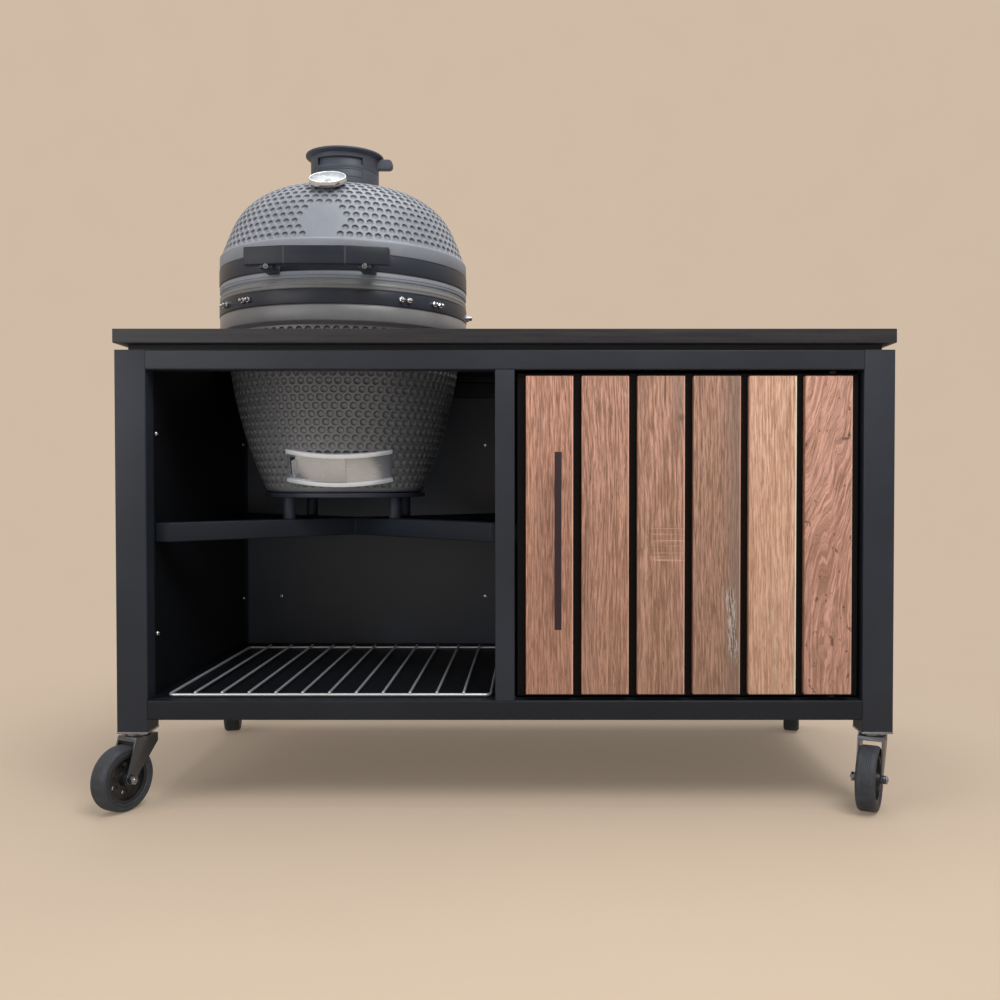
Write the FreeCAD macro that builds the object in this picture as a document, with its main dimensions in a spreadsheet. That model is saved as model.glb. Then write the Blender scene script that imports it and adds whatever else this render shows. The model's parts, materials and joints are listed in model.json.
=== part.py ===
"""Outdoor kitchen unit: a ceramic charcoal oven set in a black steel cabinet on casters.

The origin is on the floor under the middle of the cabinet. +X is to the right as seen from
the front, +Y goes to the back and +Z is up. Lengths are millimetres, angles are degrees.
"""
import FreeCAD, Part
import math
import os
import re

import Sketcher

Vector = FreeCAD.Vector
Rotation = FreeCAD.Rotation

# Driving sizes: name, value, meaning
DRIVING_SIZES = [
    ("unit_width", 1500, "cabinet width over the legs"),
    ("unit_depth", 700, "cabinet depth over the legs"),
    ("worktop_height", 926, "floor to the top of the worktop"),
    ("worktop_thickness", 27, "worktop slab"),
    ("worktop_gap", 12, "shadow gap between the legs and the worktop"),
    ("worktop_overhang", 8, "worktop past the front of the legs"),
    ("cutout_gap", 27, "worktop cut-out round the bowl, radial"),
    ("spacer_width", 24, "packing strip under the worktop"),
    ("spacer_inset", 20, "packing strip back from the faces of the frame"),
    ("leg_size", 60, "square leg tube"),
    ("leg_wall", 3, "leg tube wall"),
    ("tube_size", 38, "square rail and post tube"),
    ("tube_wall", 2, "rail and post tube wall"),
    ("tube_corner", 3, "outer corner radius of the tubes"),
    ("floor_height", 211, "floor to the top of the lower rails"),
    ("sheet", 2, "steel sheet thickness"),
    ("sheet_gap", 0.5, "play round a sheet"),
    ("panel_top_gap", 6, "side sheets below the top of the legs"),
    ("brace_drop", 373, "top of the X brace below the top of the worktop"),
    ("brace_size", 38, "square brace tube"),
    ("brace_inset", 42, "brace ends back from the front of the legs"),
    ("rack_wire", 6, "rim wire of the shelf rack"),
    ("rack_bar", 5, "cross wire of the shelf rack"),
    ("rack_count", 11, "cross wires between the rims"),
    ("rack_margin", 25, "rack clear of the compartment walls"),
    ("rack_front", 28, "rack rim back from the front of the legs"),
    ("rack_depth", 575, "rack from front to back"),
    ("rack_corner", 12, "rack corner radius"),
    ("weld_sink", 0.6, "crossing wires melted into each other"),
    ("screw_radius", 4.5, "sheet screw head"),
    ("screw_head", 2.5, "sheet screw head height"),
    ("screw_inset", 50, "side sheet screws from the front and the back"),
    ("screw_rise", 123, "lower sheet screws above the lower rails"),
    ("screw_drop", 159, "upper sheet screws below the top of the legs"),
    ("screw_edge", 72, "back sheet screws from the middle of the unit"),
    ("screw_pitch", 532, "back sheet screws, sideways"),
    ("door_side_gap", 5, "door tray to the post and to the leg"),
    ("door_end_gap", 6, "door tray to the rails"),
    ("tray_depth", 20, "door tray behind the slats"),
    ("tray_sheet", 3, "door tray sheet"),
    ("slat_count", 6, "hardwood slats in the door"),
    ("slat_gap", 16.4, "gap between slats"),
    ("slat_side", 16.5, "tray edge to the outer slats"),
    ("slat_end", 6, "tray edge to the slat ends"),
    ("slat_thickness", 20, "hardwood slat"),
    ("pivot_inset", 52, "door pivot from the inside of the leg"),
    ("pivot_depth", 32, "door pivot from the front of the legs"),
    ("pivot_radius", 5, "door pivot pin"),
    ("pivot_length", 17, "door pivot pin past its rail"),
    ("collar_radius", 9, "collar that carries the door"),
    ("catch_size", 40, "door catch block"),
    ("catch_thickness", 12, "door catch from front to back"),
    ("pull_inset", 77.5, "pull bar from the edge of the tray"),
    ("pull_bar", 13, "square pull bar"),
    ("pull_length", 336, "pull bar length"),
    ("pull_drop", 8, "middle of the pull bar below the middle of the door"),
    ("pull_posts", 212, "distance between the pull bar posts"),
    ("pull_reach", 30, "slat face to the pull bar"),
    ("pull_post_radius", 5, "pull bar post"),
    ("run_fit", 0.06, "radial clearance of turning pins"),
    ("still_fit", 0.02, "radial clearance of fixed pins"),
    ("slip", 0.3, "clearance between faces that slide"),
    ("seat_fit", 0.2, "clearance of brackets on round faces"),
    ("oven_offset", 25, "oven axis to the left of the middle of its compartment"),
    ("foot_height", 47, "oven feet"),
    ("foot_radius", 13, "oven foot"),
    ("foot_spread", 100, "oven feet from the middle of the brace, front to back"),
    ("foot_offset", 15, "middle of the oven feet to the left of the middle of the brace"),
    ("base_radius", 177, "base plate of the oven"),
    ("base_thickness", 9, "base plate thickness"),
    ("base_bore", 60, "drain hole in the base plate"),
    ("bowl_height", 424, "bowl from its bottom to its rim"),
    ("flat_inset", 14, "flat bottom of the bowl in from its heel"),
    ("heel_inset", 95, "bottom edge of the bowl in from its lip"),
    ("heel_height", 11, "height of the bottom edge of the bowl"),
    ("bowl_curve", 970, "curve of the side of the bowl"),
    ("neck_inset", 14, "neck of the bowl in from its lip"),
    ("neck_height", 10, "straight neck under the lip"),
    ("lip_flare", 7, "height over which the lip spreads"),
    ("lip_height", 33, "plain lip under the lower band"),
    ("lip_radius", 271, "ceramic rims of bowl and dome"),
    ("lower_band_height", 28, "lower steel band"),
    ("rim_height", 15, "ceramic ring above the lower band"),
    ("band_groove", 2.3, "depth of the grooves for the bands"),
    ("band_proud", 1, "bands proud of the ceramic"),
    ("bowl_wall", 28, "bowl wall at the rim"),
    ("bowl_floor", 31, "bowl bottom thickness"),
    ("foot_wall", 34, "bowl wall at its floor"),
    ("neck_wall", 20, "bowl wall at its neck"),
    ("gasket", 3.3, "gasket on each rim"),
    ("gasket_width", 24, "gasket from inside to outside"),
    ("gasket_inset", 2, "gasket in from the outer face"),
    ("dome_ring", 17, "ceramic ring under the upper band"),
    ("upper_band_height", 33, "upper steel band"),
    ("dome_lip", 32, "plain lip above the upper band"),
    ("dome_foot_inset", 4, "start of the dimpled side of the dome in from the lip"),
    ("dome_side_curve", 738, "curve of the side of the dome"),
    ("dome_rise", 149.5, "dome lip to the top of the crown"),
    ("crown_inset", 162.5, "flat crown of the dome in from the lip"),
    ("crown_curve", 147, "curve between the side and the crown"),
    ("shoulder_angle", 24.8, "slope where the side meets the crown curve"),
    ("dome_wall", 25, "dome wall"),
    ("dome_inner_lip", 75, "straight inside wall of the dome"),
    ("vent_bore", 62, "bore of the vent"),
    ("vent_radius", 75, "vent chimney"),
    ("vent_sleeve", 5, "wall of the turning cap"),
    ("vent_collar", 48.5, "plain lower part of the vent"),
    ("vent_height", 90.5, "vent from the crown to its top"),
    ("cap_flange", 86, "flange on top of the cap"),
    ("cap_top", 4, "top plate of the cap"),
    ("vent_slot_width", 98, "vent window width"),
    ("vent_slot_height", 16, "vent window height"),
    ("vent_slot_drop", 18, "vent window below the top of the cap"),
    ("tab_reach", 107, "cap tab from the vent axis"),
    ("tab_width", 20, "cap tab thickness"),
    ("tab_height", 21, "cap tab height"),
    ("tab_drop", 7, "cap tab below the top of the cap"),
    ("dial_slope", 57, "thermometer axis above level"),
    ("dial_radius", 38.5, "thermometer bezel"),
    ("dial_bore", 34.5, "inside of the bezel"),
    ("dial_neck", 14, "thermometer stem"),
    ("dial_lift", 6, "bezel above the dome"),
    ("dial_depth", 11, "bezel thickness"),
    ("dial_floor", 3, "floor of the thermometer case"),
    ("stem_length", 45, "thermometer stem below the bezel"),
    ("glass", 2, "thermometer glass"),
    ("needle_length", 29, "thermometer needle"),
    ("needle_width", 3, "needle width"),
    ("needle_height", 1, "needle thickness"),
    ("needle_pin", 1.5, "needle pivot"),
    ("handle_reach", 59, "front of the lid handle from the dome lip"),
    ("handle_middle", 120, "straight middle of the lid handle"),
    ("handle_length", 284, "lid handle overall"),
    ("handle_sweep", 18, "handle ends swept back"),
    ("handle_thickness", 24, "handle from front to back"),
    ("handle_height", 36, "handle height"),
    ("handle_drop", 1, "handle below the upper band"),
    ("bracket_spread", 96, "handle brackets from the oven axis"),
    ("bracket_width", 26, "handle bracket width"),
    ("bracket_thickness", 7, "handle bracket thickness"),
    ("hinge_reach", 33, "lid pin behind the bands"),
    ("hinge_pin_radius", 6, "lid pin"),
    ("knuckle_radius", 13, "round of the hinge knuckle"),
    ("knuckle_length", 74, "hinge knuckle length"),
    ("ear_thickness", 8, "ear of the hinge bracket"),
    ("bolt_radius", 4, "band bolt"),
    ("bolt_length", 13, "band bolt past the band"),
    ("bolt_spacing", 17, "bolts of a pair"),
    ("draft_slope", 22, "lean of the draft plate"),
    ("draft_turn", 6, "angle of the draft plate to the right of the front"),
    ("draft_height", 49, "middle of the draft plate above the bowl bottom"),
    ("draft_inset", 79, "bowl behind the middle of the draft plate, in from the lip"),
    ("draft_half", 36, "half height of the draft plate"),
    ("draft_span", 31, "half angle of the draft plate"),
    ("draft_back", 14, "depth of the draft plate into the bowl curve"),
    ("draft_face", 2.6, "front of the draft plate past the bowl"),
    ("draft_rail", 7, "front of the draft channels past the bowl"),
    ("draft_lip", 9, "height of each draft channel"),
    ("draft_window", 20, "half height of the draft window"),
    ("draft_door_sheet", 1.6, "sliding draft door sheet"),
    ("draft_tab", 13, "pull tab of the draft door"),
    ("fire_gap", 10, "gap round the foot of the fire box"),
    ("fire_top_gap", 41, "gap round the top of the fire box"),
    ("fire_height", 190, "fire box height"),
    ("fire_wall", 22, "fire box and fire ring wall"),
    ("fire_floor", 52, "floor of the fire box from its foot to its hole"),
    ("fire_slot", 120, "air slot in the fire box"),
    ("ring_height", 150, "fire ring height"),
    ("coal_gap", 18, "gap round the charcoal grate"),
    ("coal_grate_thickness", 8, "charcoal grate thickness"),
    ("coal_hole", 8, "hole in the charcoal grate"),
    ("coal_row", 23, "distance between the hole circles of the charcoal grate"),
    ("grate_over", 3, "cooking grate past the fire ring"),
    ("grate_wire", 4, "radius of the cooking grate rim"),
    ("grate_bar", 3, "radius of a cooking grate bar"),
    ("grate_count", 17, "bars of the cooking grate"),
    ("caster_clear", 25, "top of the wheel to the bottom of the leg"),
    ("caster_plate", 4, "caster top plate"),
    ("race_height", 6, "caster bearing race"),
    ("race_radius", 24, "caster bearing race"),
    ("kingpin_radius", 6, "caster kingpin"),
    ("kingpin_head", 10, "kingpin head radius"),
    ("kingpin_head_height", 4, "kingpin head height"),
    ("crown_thickness", 8, "crown of the caster fork"),
    ("crown_round", 27, "radius of the fork crown"),
    ("wheel_radius", 62.5, "caster wheel"),
    ("wheel_width", 38, "caster tyre width"),
    ("caster_trail", 40, "wheel axle behind the swivel axis"),
    ("fork_play", 2, "tyre to the fork, each side"),
    ("fork_plate", 3.5, "fork side plate"),
    ("fork_boss", 13, "fork end round the axle"),
    ("axle_radius", 5, "caster axle"),
    ("axle_head", 8, "axle bolt head radius"),
    ("axle_head_height", 5, "axle bolt head height"),
    ("tyre_bore", 46, "inside of the tyre"),
    ("tyre_side", 16, "tyre half width at its bore"),
    ("hub_rim", 40, "inside of the hub rim"),
    ("hub_web", 12, "hub web thickness"),
    ("hub_boss", 14, "hub boss radius"),
    ("hub_hole", 6.5, "lightening hole in the hub"),
    ("hub_hole_circle", 27, "lightening holes from the axle"),
]

# Lengths that follow from the driving sizes
DERIVED_SIZES = {
    "half_width": "unit_width / 2",
    "half_depth": "unit_depth / 2",
    "leg_top": "worktop_height - worktop_thickness - worktop_gap",
    "leg_inside": "unit_width / 2 - leg_size",
    "caster_height": "2 * wheel_radius + caster_clear",
    "brace_top": "worktop_height - brace_drop",
    "screw_low": "floor_height + screw_rise",
    "screw_high": "leg_top - screw_drop",
    "post_half": "tube_size / 2",
    "floor_top": "floor_height + sheet",
    "wall_face": "leg_inside - sheet",
    "mid_face": "sheet / 2",
    "bay_middle": "(wall_face + mid_face) / 2",
    "oven_shift": "bay_middle + oven_offset",
    "brace_half_x": "(wall_face - mid_face) / 2",
    "brace_half_y": "half_depth - brace_inset",
    "panel_half_depth": "half_depth - tube_size - sheet_gap",
    "panel_top": "leg_top - panel_top_gap",
    "tray_left": "post_half + door_side_gap",
    "tray_right": "leg_inside - door_side_gap",
    "tray_bottom": "floor_height + door_end_gap",
    "tray_top": "leg_top - tube_size - door_end_gap",
    "catch_height": "(tray_bottom + tray_top) / 2",
    "pull_height": "catch_height - pull_drop",
    "tray_front": "slat_thickness - half_depth",
    "tray_back": "tray_front + tray_depth",
    "pivot_x": "leg_inside - pivot_inset",
    "pivot_y": "pivot_depth - half_depth",
    "bowl_bottom": "brace_top + foot_height + base_thickness",
    "rim_top": "bowl_bottom + bowl_height",
    "lower_band_top": "rim_top - rim_height",
    "lower_band_bottom": "lower_band_top - lower_band_height",
    "lip_bottom": "lower_band_bottom - lip_height",
    "neck_top": "lip_bottom - lip_flare",
    "bowl_side_top": "neck_top - neck_height",
    "neck_radius": "lip_radius - neck_inset",
    "heel_radius": "lip_radius - heel_inset",
    "bowl_flat": "heel_radius - flat_inset",
    "bowl_inner_neck": "neck_radius - neck_wall",
    "bowl_inner_foot": "heel_radius - foot_wall",
    "dome_foot": "lip_radius - dome_foot_inset",
    "crown_radius": "lip_radius - crown_inset",
    "band_seat": "lip_radius - band_groove",
    "band_outside": "lip_radius + band_proud",
    "bowl_inside": "lip_radius - bowl_wall",
    "gasket_inside": "lip_radius - gasket_inset - gasket_width",
    "gasket_outside": "lip_radius - gasket_inset",
    "dome_bottom": "rim_top + 2 * gasket + slip",
    "upper_band_bottom": "dome_bottom + dome_ring",
    "upper_band_top": "upper_band_bottom + upper_band_height",
    "dome_lip_top": "upper_band_top + dome_lip",
    "crown_top": "dome_lip_top + dome_rise",
    "crown_centre": "crown_top - crown_curve",
    "inner_crown_curve": "crown_curve - dome_wall",
    "vent_top": "crown_top + vent_height",
    "collar_top": "crown_top + vent_collar",
    "sleeve_inside": "vent_radius - vent_sleeve",
    "slot_top": "vent_top - vent_slot_drop",
    "slot_bottom": "slot_top - vent_slot_height",
    "dial_reach": "crown_radius + crown_curve * cos(dial_slope)",
    "dial_height": "crown_centre + crown_curve * sin(dial_slope)",
    "hinge_y": "band_outside + hinge_reach",
    "hinge_z": "rim_top + gasket",
    "handle_bottom": "upper_band_bottom - handle_drop",
    "handle_front": "lip_radius + handle_reach",
    "draft_front": "lip_radius - draft_inset",
    "draft_curve": "draft_front / cos(draft_slope)",
    "draft_axis_z": "bowl_bottom + draft_height + draft_curve * sin(draft_slope)",
    "fire_foot": "bowl_inner_foot - fire_gap",
    "fire_top": "bowl_inside - fire_top_gap",
    "fire_hole": "fire_foot - fire_floor",
    "coal_grate_radius": "fire_foot - fire_wall - coal_gap",
    "grate_radius": "fire_top + grate_over",
    "fire_bottom": "bowl_bottom + bowl_floor",
    "fire_rim": "fire_bottom + fire_height",
    "ring_top": "fire_rim + ring_height",
    "race_bottom": "caster_height - caster_plate - race_height",
    "fork_top": "race_bottom - slip",
    "fork_under": "fork_top - crown_thickness",
    "fork_inside": "wheel_width / 2 + fork_play",
    "fork_outside": "fork_inside + fork_plate",
}

# Casters: name, side, end, swivel angle at which the wheel was left
CASTERS = [
    ("front_left", -1, -1, -26),
    ("front_right", 1, -1, -26),
    ("rear_left", -1, 1, 12),
    ("rear_right", 1, 1, -14),
]

# Angles of the bolt pairs on the lower band, from the front of the oven
BOLT_PAIRS = (-95, -54, -36.5, 36.5, 54, 95)

# Draft window and draft door, as angles from the middle of the draft plate
DRAFT_WINDOW = (-29, 2)
DRAFT_DOOR = (-25.5, 4)
FULL_TURN = 360
SIZE_NAME = re.compile(r"[a-z][a-z_]*")

doc = FreeCAD.newDocument("OutdoorKitchen")
sheet = doc.addObject("Spreadsheet::Sheet", "Sizes")
for row, (alias, value, meaning) in enumerate(DRIVING_SIZES, start=1):
    sheet.set(f"A{row}", meaning)
    sheet.set(f"B{row}", str(value))
    sheet.setAlias(f"B{row}", alias)
doc.recompute()
driving_names = {alias for alias, value, meaning in DRIVING_SIZES}
nodes = []


def sized(text):
    """Expression in which every size name points at the sheet."""

    def point(match):
        word = match.group(0)
        if word in DERIVED_SIZES:
            return "(" + sized(DERIVED_SIZES[word]) + ")"
        return "Sizes." + word if word in driving_names else word

    return SIZE_NAME.sub(point, str(text))


def number(text):
    """Present value of an expression."""
    return float(sheet.evalExpression(sized(text)))


def place(piece, x="0", y="0", z="0", turn=None):
    """Bind the place of a piece to expressions, with an optional fixed turn."""
    piece.Placement = FreeCAD.Placement(Vector(), turn or Rotation())
    for letter, text in zip("xyz", (x, y, z)):
        piece.setExpression("Placement.Base." + letter, sized(text))
    return piece


def keep(piece, label):
    """Hand in a piece under its own name."""
    piece.Label = label
    nodes.append(piece)
    return piece


def block(name, low, high):
    """Block between two corners."""
    solid = doc.addObject("Part::Box", name)
    for side, low_text, high_text in zip(("Length", "Width", "Height"), low, high):
        solid.setExpression(side, sized(f"({high_text}) - ({low_text})"))
    return place(solid, *low)


ROD_TURNS = {
    "x": Rotation(Vector(0, 1, 0), 90),
    "y": Rotation(Vector(1, 0, 0), -90),
    "z": Rotation(),
}


def rod(name, radius, length, base, axis="z", turn=None):
    """Round bar from a base point along an axis."""
    solid = doc.addObject("Part::Cylinder", name)
    solid.setExpression("Radius", sized(radius))
    solid.setExpression("Height", sized(length))
    return place(solid, *base, turn=turn or ROD_TURNS[axis])


def group(name, pieces):
    """Separate solids kept together."""
    solid = doc.addObject("Part::Compound", name)
    solid.Links = list(pieces)
    return solid


def fused(name, pieces):
    """Pieces welded into one solid."""
    solid = doc.addObject("Part::MultiFuse", name)
    solid.Shapes = list(pieces)
    return solid


def cut(name, base, *tools):
    """Base with the tools taken out of it."""
    solid = doc.addObject("Part::Cut", name)
    solid.Base = base
    solid.Tool = tools[0] if len(tools) == 1 else group(name + "_tools", tools)
    return solid


def common(name, base, tool):
    """What two pieces share."""
    solid = doc.addObject("Part::Common", name)
    solid.Base = base
    solid.Tool = tool
    return solid


def rounded_block(name, low, high, axis, radius):
    """Block whose edges along one axis are rounded."""
    plain = block(name + "_plain", low, high)
    extents = [number(f"({top}) - ({bottom})") for bottom, top in zip(low, high)]
    direction = Vector(*(float(letter == axis) for letter in "xyz"))
    solid = doc.addObject("Part::Fillet", name)
    solid.Base = plain
    solid.Edges = [
        (index, number(radius), number(radius))
        for index, edge in enumerate(Part.makeBox(*extents).Edges, start=1)
        if edge.tangentAt(edge.FirstParameter).cross(direction).Length < 0.5
    ]
    return solid


def tube(name, low, high, axis, wall, closed_top=False):
    """Square tube with rounded outer corners, open at its ends."""
    outside = rounded_block(name + "_outside", low, high, axis, "tube_corner")
    inner_low = [text if letter == axis else f"{text} + {wall}" for letter, text in zip("xyz", low)]
    inner_high = [text if letter == axis else f"{text} - {wall}" for letter, text in zip("xyz", high)]
    if closed_top:
        inner_high[2] = f"{high[2]} - {wall}"
    return cut(name, outside, block(name + "_inside", inner_low, inner_high))


def arc_between(start, end, radius, turn):
    """Arc from start to end, to the left for turn 1 and to the right for turn -1."""
    chord = end - start
    rise = math.sqrt(radius**2 - (chord.Length / 2) ** 2)
    left = Vector(-chord.y, chord.x, 0).normalize()
    centre = (start + end) / 2 + left * rise * turn
    first, last = (start, end) if turn > 0 else (end, start)
    angles = [math.atan2(tip.y - centre.y, tip.x - centre.x) for tip in (first, last)]
    return Part.ArcOfCircle(Part.Circle(centre, Vector(0, 0, 1), radius), *angles)


def outline(body, name, role, corners):
    """Closed sketch through corners (across, up) or (across, up, arc radius, turn of the arc)."""
    sketch = body.newObject("Sketcher::SketchObject", name)
    plane = next(feature for feature in body.Origin.OriginFeatures if feature.Role == role)
    sketch.AttachmentSupport = [(plane, "")]
    sketch.MapMode = "FlatFace"
    points = [Vector(number(corner[0]), number(corner[1]), 0) for corner in corners]
    ends = []
    edges = []
    for index, corner in enumerate(corners):
        start, end = points[index - 1], points[index]
        if len(corner) == 2:
            edges.append(Part.LineSegment(start, end))
            ends.append((1, 2))
        else:
            edges.append(arc_between(start, end, number(corner[2]), corner[3]))
            ends.append((1, 2) if corner[3] > 0 else (2, 1))
    sketch.addGeometry(edges, False)
    for index, corner in enumerate(corners):
        tip = ends[index][1]
        follower = (index + 1) % len(corners)
        sketch.addConstraint(Sketcher.Constraint("Coincident", index, tip, follower, ends[follower][0]))
        for kind, text, value, axis in (
            ("DistanceX", corner[0], points[index].x, -2),
            ("DistanceY", corner[1], points[index].y, -1),
        ):
            if value == 0:
                sketch.addConstraint(Sketcher.Constraint("PointOnObject", index, tip, axis))
                continue
            bound = sketch.addConstraint(Sketcher.Constraint(kind, -1, 1, index, tip, value))
            sketch.setExpression(f"Constraints[{bound}]", sized(text))
        if len(corner) > 2:
            bound = sketch.addConstraint(Sketcher.Constraint("Radius", index, number(corner[2])))
            sketch.setExpression(f"Constraints[{bound}]", sized(corner[2]))
    return sketch


def turned(name, corners):
    """Piece turned about the vertical axis from (radius, height) corners."""
    body = doc.addObject("PartDesign::Body", name)
    sketch = outline(body, name + "_profile", "XZ_Plane", corners)
    turn = body.newObject("PartDesign::Revolution", name + "_turn")
    turn.Profile = sketch
    turn.ReferenceAxis = (sketch, ["V_Axis"])
    turn.Angle = FULL_TURN
    return body


def padded(name, role, corners, length, both_ways=True):
    """Outline given a thickness, on both sides of its plane or on one."""
    body = doc.addObject("PartDesign::Body", name)
    sketch = outline(body, name + "_outline", role, corners)
    pad = body.newObject("PartDesign::Pad", name + "_pad")
    pad.Profile = sketch
    pad.setExpression("Length", sized(length))
    if both_ways:
        pad.SideType = "Symmetric"
    return body


def ring(name, inside, outside, bottom, top):
    """Flat ring about the oven axis."""
    body = turned(name, [(inside, bottom), (outside, bottom), (outside, top), (inside, top)])
    return on_oven(body)


def on_oven(piece, y="0", z="0", turn=None):
    """Put a piece on the oven axis."""
    return place(piece, "-oven_shift", y, z, turn)


def oven_block(name, low, high):
    """Block whose X is measured from the oven axis."""
    left = (f"{low[0]} - oven_shift", *low[1:])
    right = (f"{high[0]} - oven_shift", *high[1:])
    return block(name, left, right)


def build_frame():
    """Legs, rails and posts."""
    legs = []
    for name, side, end, swivel in CASTERS:
        x_low = "-half_width" if side < 0 else "leg_inside"
        y_low = "-half_depth" if end < 0 else "half_depth - leg_size"
        low = (x_low, y_low, "caster_height")
        high = (f"{x_low} + leg_size", f"{y_low} + leg_size", "leg_top")
        legs.append(tube("leg_" + name, low, high, "z", "leg_wall", closed_top=True))
    keep(group("corner_legs", legs), "corner_legs")

    for label, top in (("top_rails", "leg_top"), ("bottom_rails", "floor_height")):
        rails = []
        for place_name, y_low in (("front", "-half_depth"), ("rear", "half_depth - tube_size")):
            low = ("-leg_inside", y_low, f"{top} - tube_size")
            high = ("leg_inside", f"{y_low} + tube_size", top)
            rails.append(tube(f"{label}_{place_name}", low, high, "x", "tube_wall"))
        for place_name, x_low in (("left", "-leg_inside - tube_size"), ("right", "leg_inside")):
            low = (x_low, "leg_size - half_depth", f"{top} - tube_size")
            high = (f"{x_low} + tube_size", "half_depth - leg_size", top)
            rails.append(tube(f"{label}_{place_name}", low, high, "y", "tube_wall"))
        keep(group(label, rails), label)

    posts = []
    for place_name, y_low in (("front", "-half_depth"), ("rear", "half_depth - tube_size")):
        low = ("-post_half", y_low, "floor_height")
        high = ("post_half", f"{y_low} + tube_size", "leg_top - tube_size")
        posts.append(tube("post_" + place_name, low, high, "z", "tube_wall"))
    keep(group("middle_posts", posts), "middle_posts")


def build_worktop():
    """Worktop with its cut-out, and the packing strips under it."""
    under = "leg_top + worktop_gap"
    low = ("-half_width", "-half_depth - worktop_overhang", under)
    slab = block("worktop_slab", low, ("half_width", "half_depth", "worktop_height"))
    hole = rod("worktop_hole", "neck_radius + cutout_gap", "3 * worktop_thickness",
               ("-oven_shift", "0", f"{under} - worktop_thickness"))
    keep(cut("worktop", slab, hole), "worktop")

    strips = []
    reach = "half_width - spacer_inset"
    for place_name, y_low in (
        ("front", "spacer_inset - half_depth"),
        ("rear", "half_depth - spacer_inset - spacer_width"),
    ):
        strips.append(block("strip_" + place_name, (f"-({reach})", y_low, "leg_top"),
                            (reach, f"{y_low} + spacer_width", under)))
    side_reach = "half_depth - spacer_inset - spacer_width"
    for place_name, x_low in (("left", f"-({reach})"), ("right", f"{reach} - spacer_width")):
        strips.append(block("strip_" + place_name, (x_low, f"-({side_reach})", "leg_top"),
                            (f"{x_low} + spacer_width", side_reach, under)))
    keep(group("worktop_spacers", strips), "worktop_spacers")


def build_sheets():
    """Side, back, middle and floor sheets with their screws."""
    floor = block("floor_sheet", ("-leg_inside", "tube_wall + sheet - half_depth + tube_size / 2",
                                  "floor_height"),
                  ("leg_inside", "half_depth - tube_size / 2 - tube_wall - sheet", "floor_top"))
    notches = [
        block("notch_" + place_name, ("-post_half - sheet_gap", y_low, "floor_height - sheet"),
              ("post_half + sheet_gap", f"{y_low} + tube_size + 2 * sheet_gap", "floor_top + sheet"))
        for place_name, y_low in (
            ("front", "-half_depth - sheet_gap"),
            ("rear", "half_depth - tube_size - sheet_gap"),
        )
    ]
    keep(cut("floor_panel", floor, *notches), "floor_panel")

    sides = [
        block("side_sheet_" + place_name, (x_low, "-panel_half_depth", "floor_top"),
              (f"{x_low} + sheet", "panel_half_depth", "panel_top"))
        for place_name, x_low in (("left", "-leg_inside"), ("right", "wall_face"))
    ]
    keep(group("side_panels", sides), "side_panels")
    keep(block("partition_panel", ("-mid_face", "-panel_half_depth", "floor_top"),
               ("mid_face", "panel_half_depth", "panel_top")), "partition_panel")
    keep(block("back_panel", ("sheet - half_width", "half_depth", "floor_height - tube_size"),
               ("half_width - sheet", "half_depth + sheet", "leg_top")), "back_panel")

    screws = []
    for side, facing in ((-1, 90), (1, -90)):
        x_face = "-wall_face" if side < 0 else "wall_face"
        for end in ("screw_inset - half_depth", "half_depth - leg_size + screw_radius * 2"):
            for level in ("screw_low", "screw_high"):
                screws.append(rod(f"side_screw_{len(screws)}", "screw_radius", "screw_head",
                                  (x_face, end, level), turn=Rotation(Vector(0, 1, 0), facing)))
        for x_text in ("screw_edge", "screw_edge + screw_pitch"):
            for level in ("screw_low", "screw_high"):
                screws.append(rod(f"back_screw_{len(screws)}", "screw_radius", "screw_head",
                                  (f"{side} * ({x_text})", "half_depth", level),
                                  turn=Rotation(Vector(1, 0, 0), 90)))
    keep(group("panel_screws", screws), "panel_screws")


def build_brace():
    """X brace under the oven, welded from two crossing tubes."""
    slope = math.degrees(math.atan2(number("brace_half_y"), number("brace_half_x")))
    length = "2 * sqrt(brace_half_x ^ 2 + brace_half_y ^ 2) + 2 * brace_size"
    arms = []
    for name, angle in (("rising", slope), ("falling", -slope)):
        arm = doc.addObject("Part::Box", "brace_" + name)
        arm.setExpression("Length", sized(length))
        arm.setExpression("Width", sized("brace_size"))
        arm.setExpression("Height", sized("brace_size"))
        place(arm,
              f"-bay_middle - ({length}) / 2 * cos({angle}) + brace_size / 2 * sin({angle})",
              f"-({length}) / 2 * sin({angle}) - brace_size / 2 * cos({angle})",
              "brace_top - brace_size", Rotation(Vector(0, 0, 1), angle))
        arms.append(arm)
    limits = block("brace_limits", ("-wall_face", "-brace_half_y", "brace_top - 2 * brace_size"),
                   ("-mid_face", "brace_half_y", "brace_top + brace_size"))
    keep(common("cross_brace", fused("brace_arms", arms), limits), "cross_brace")


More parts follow.
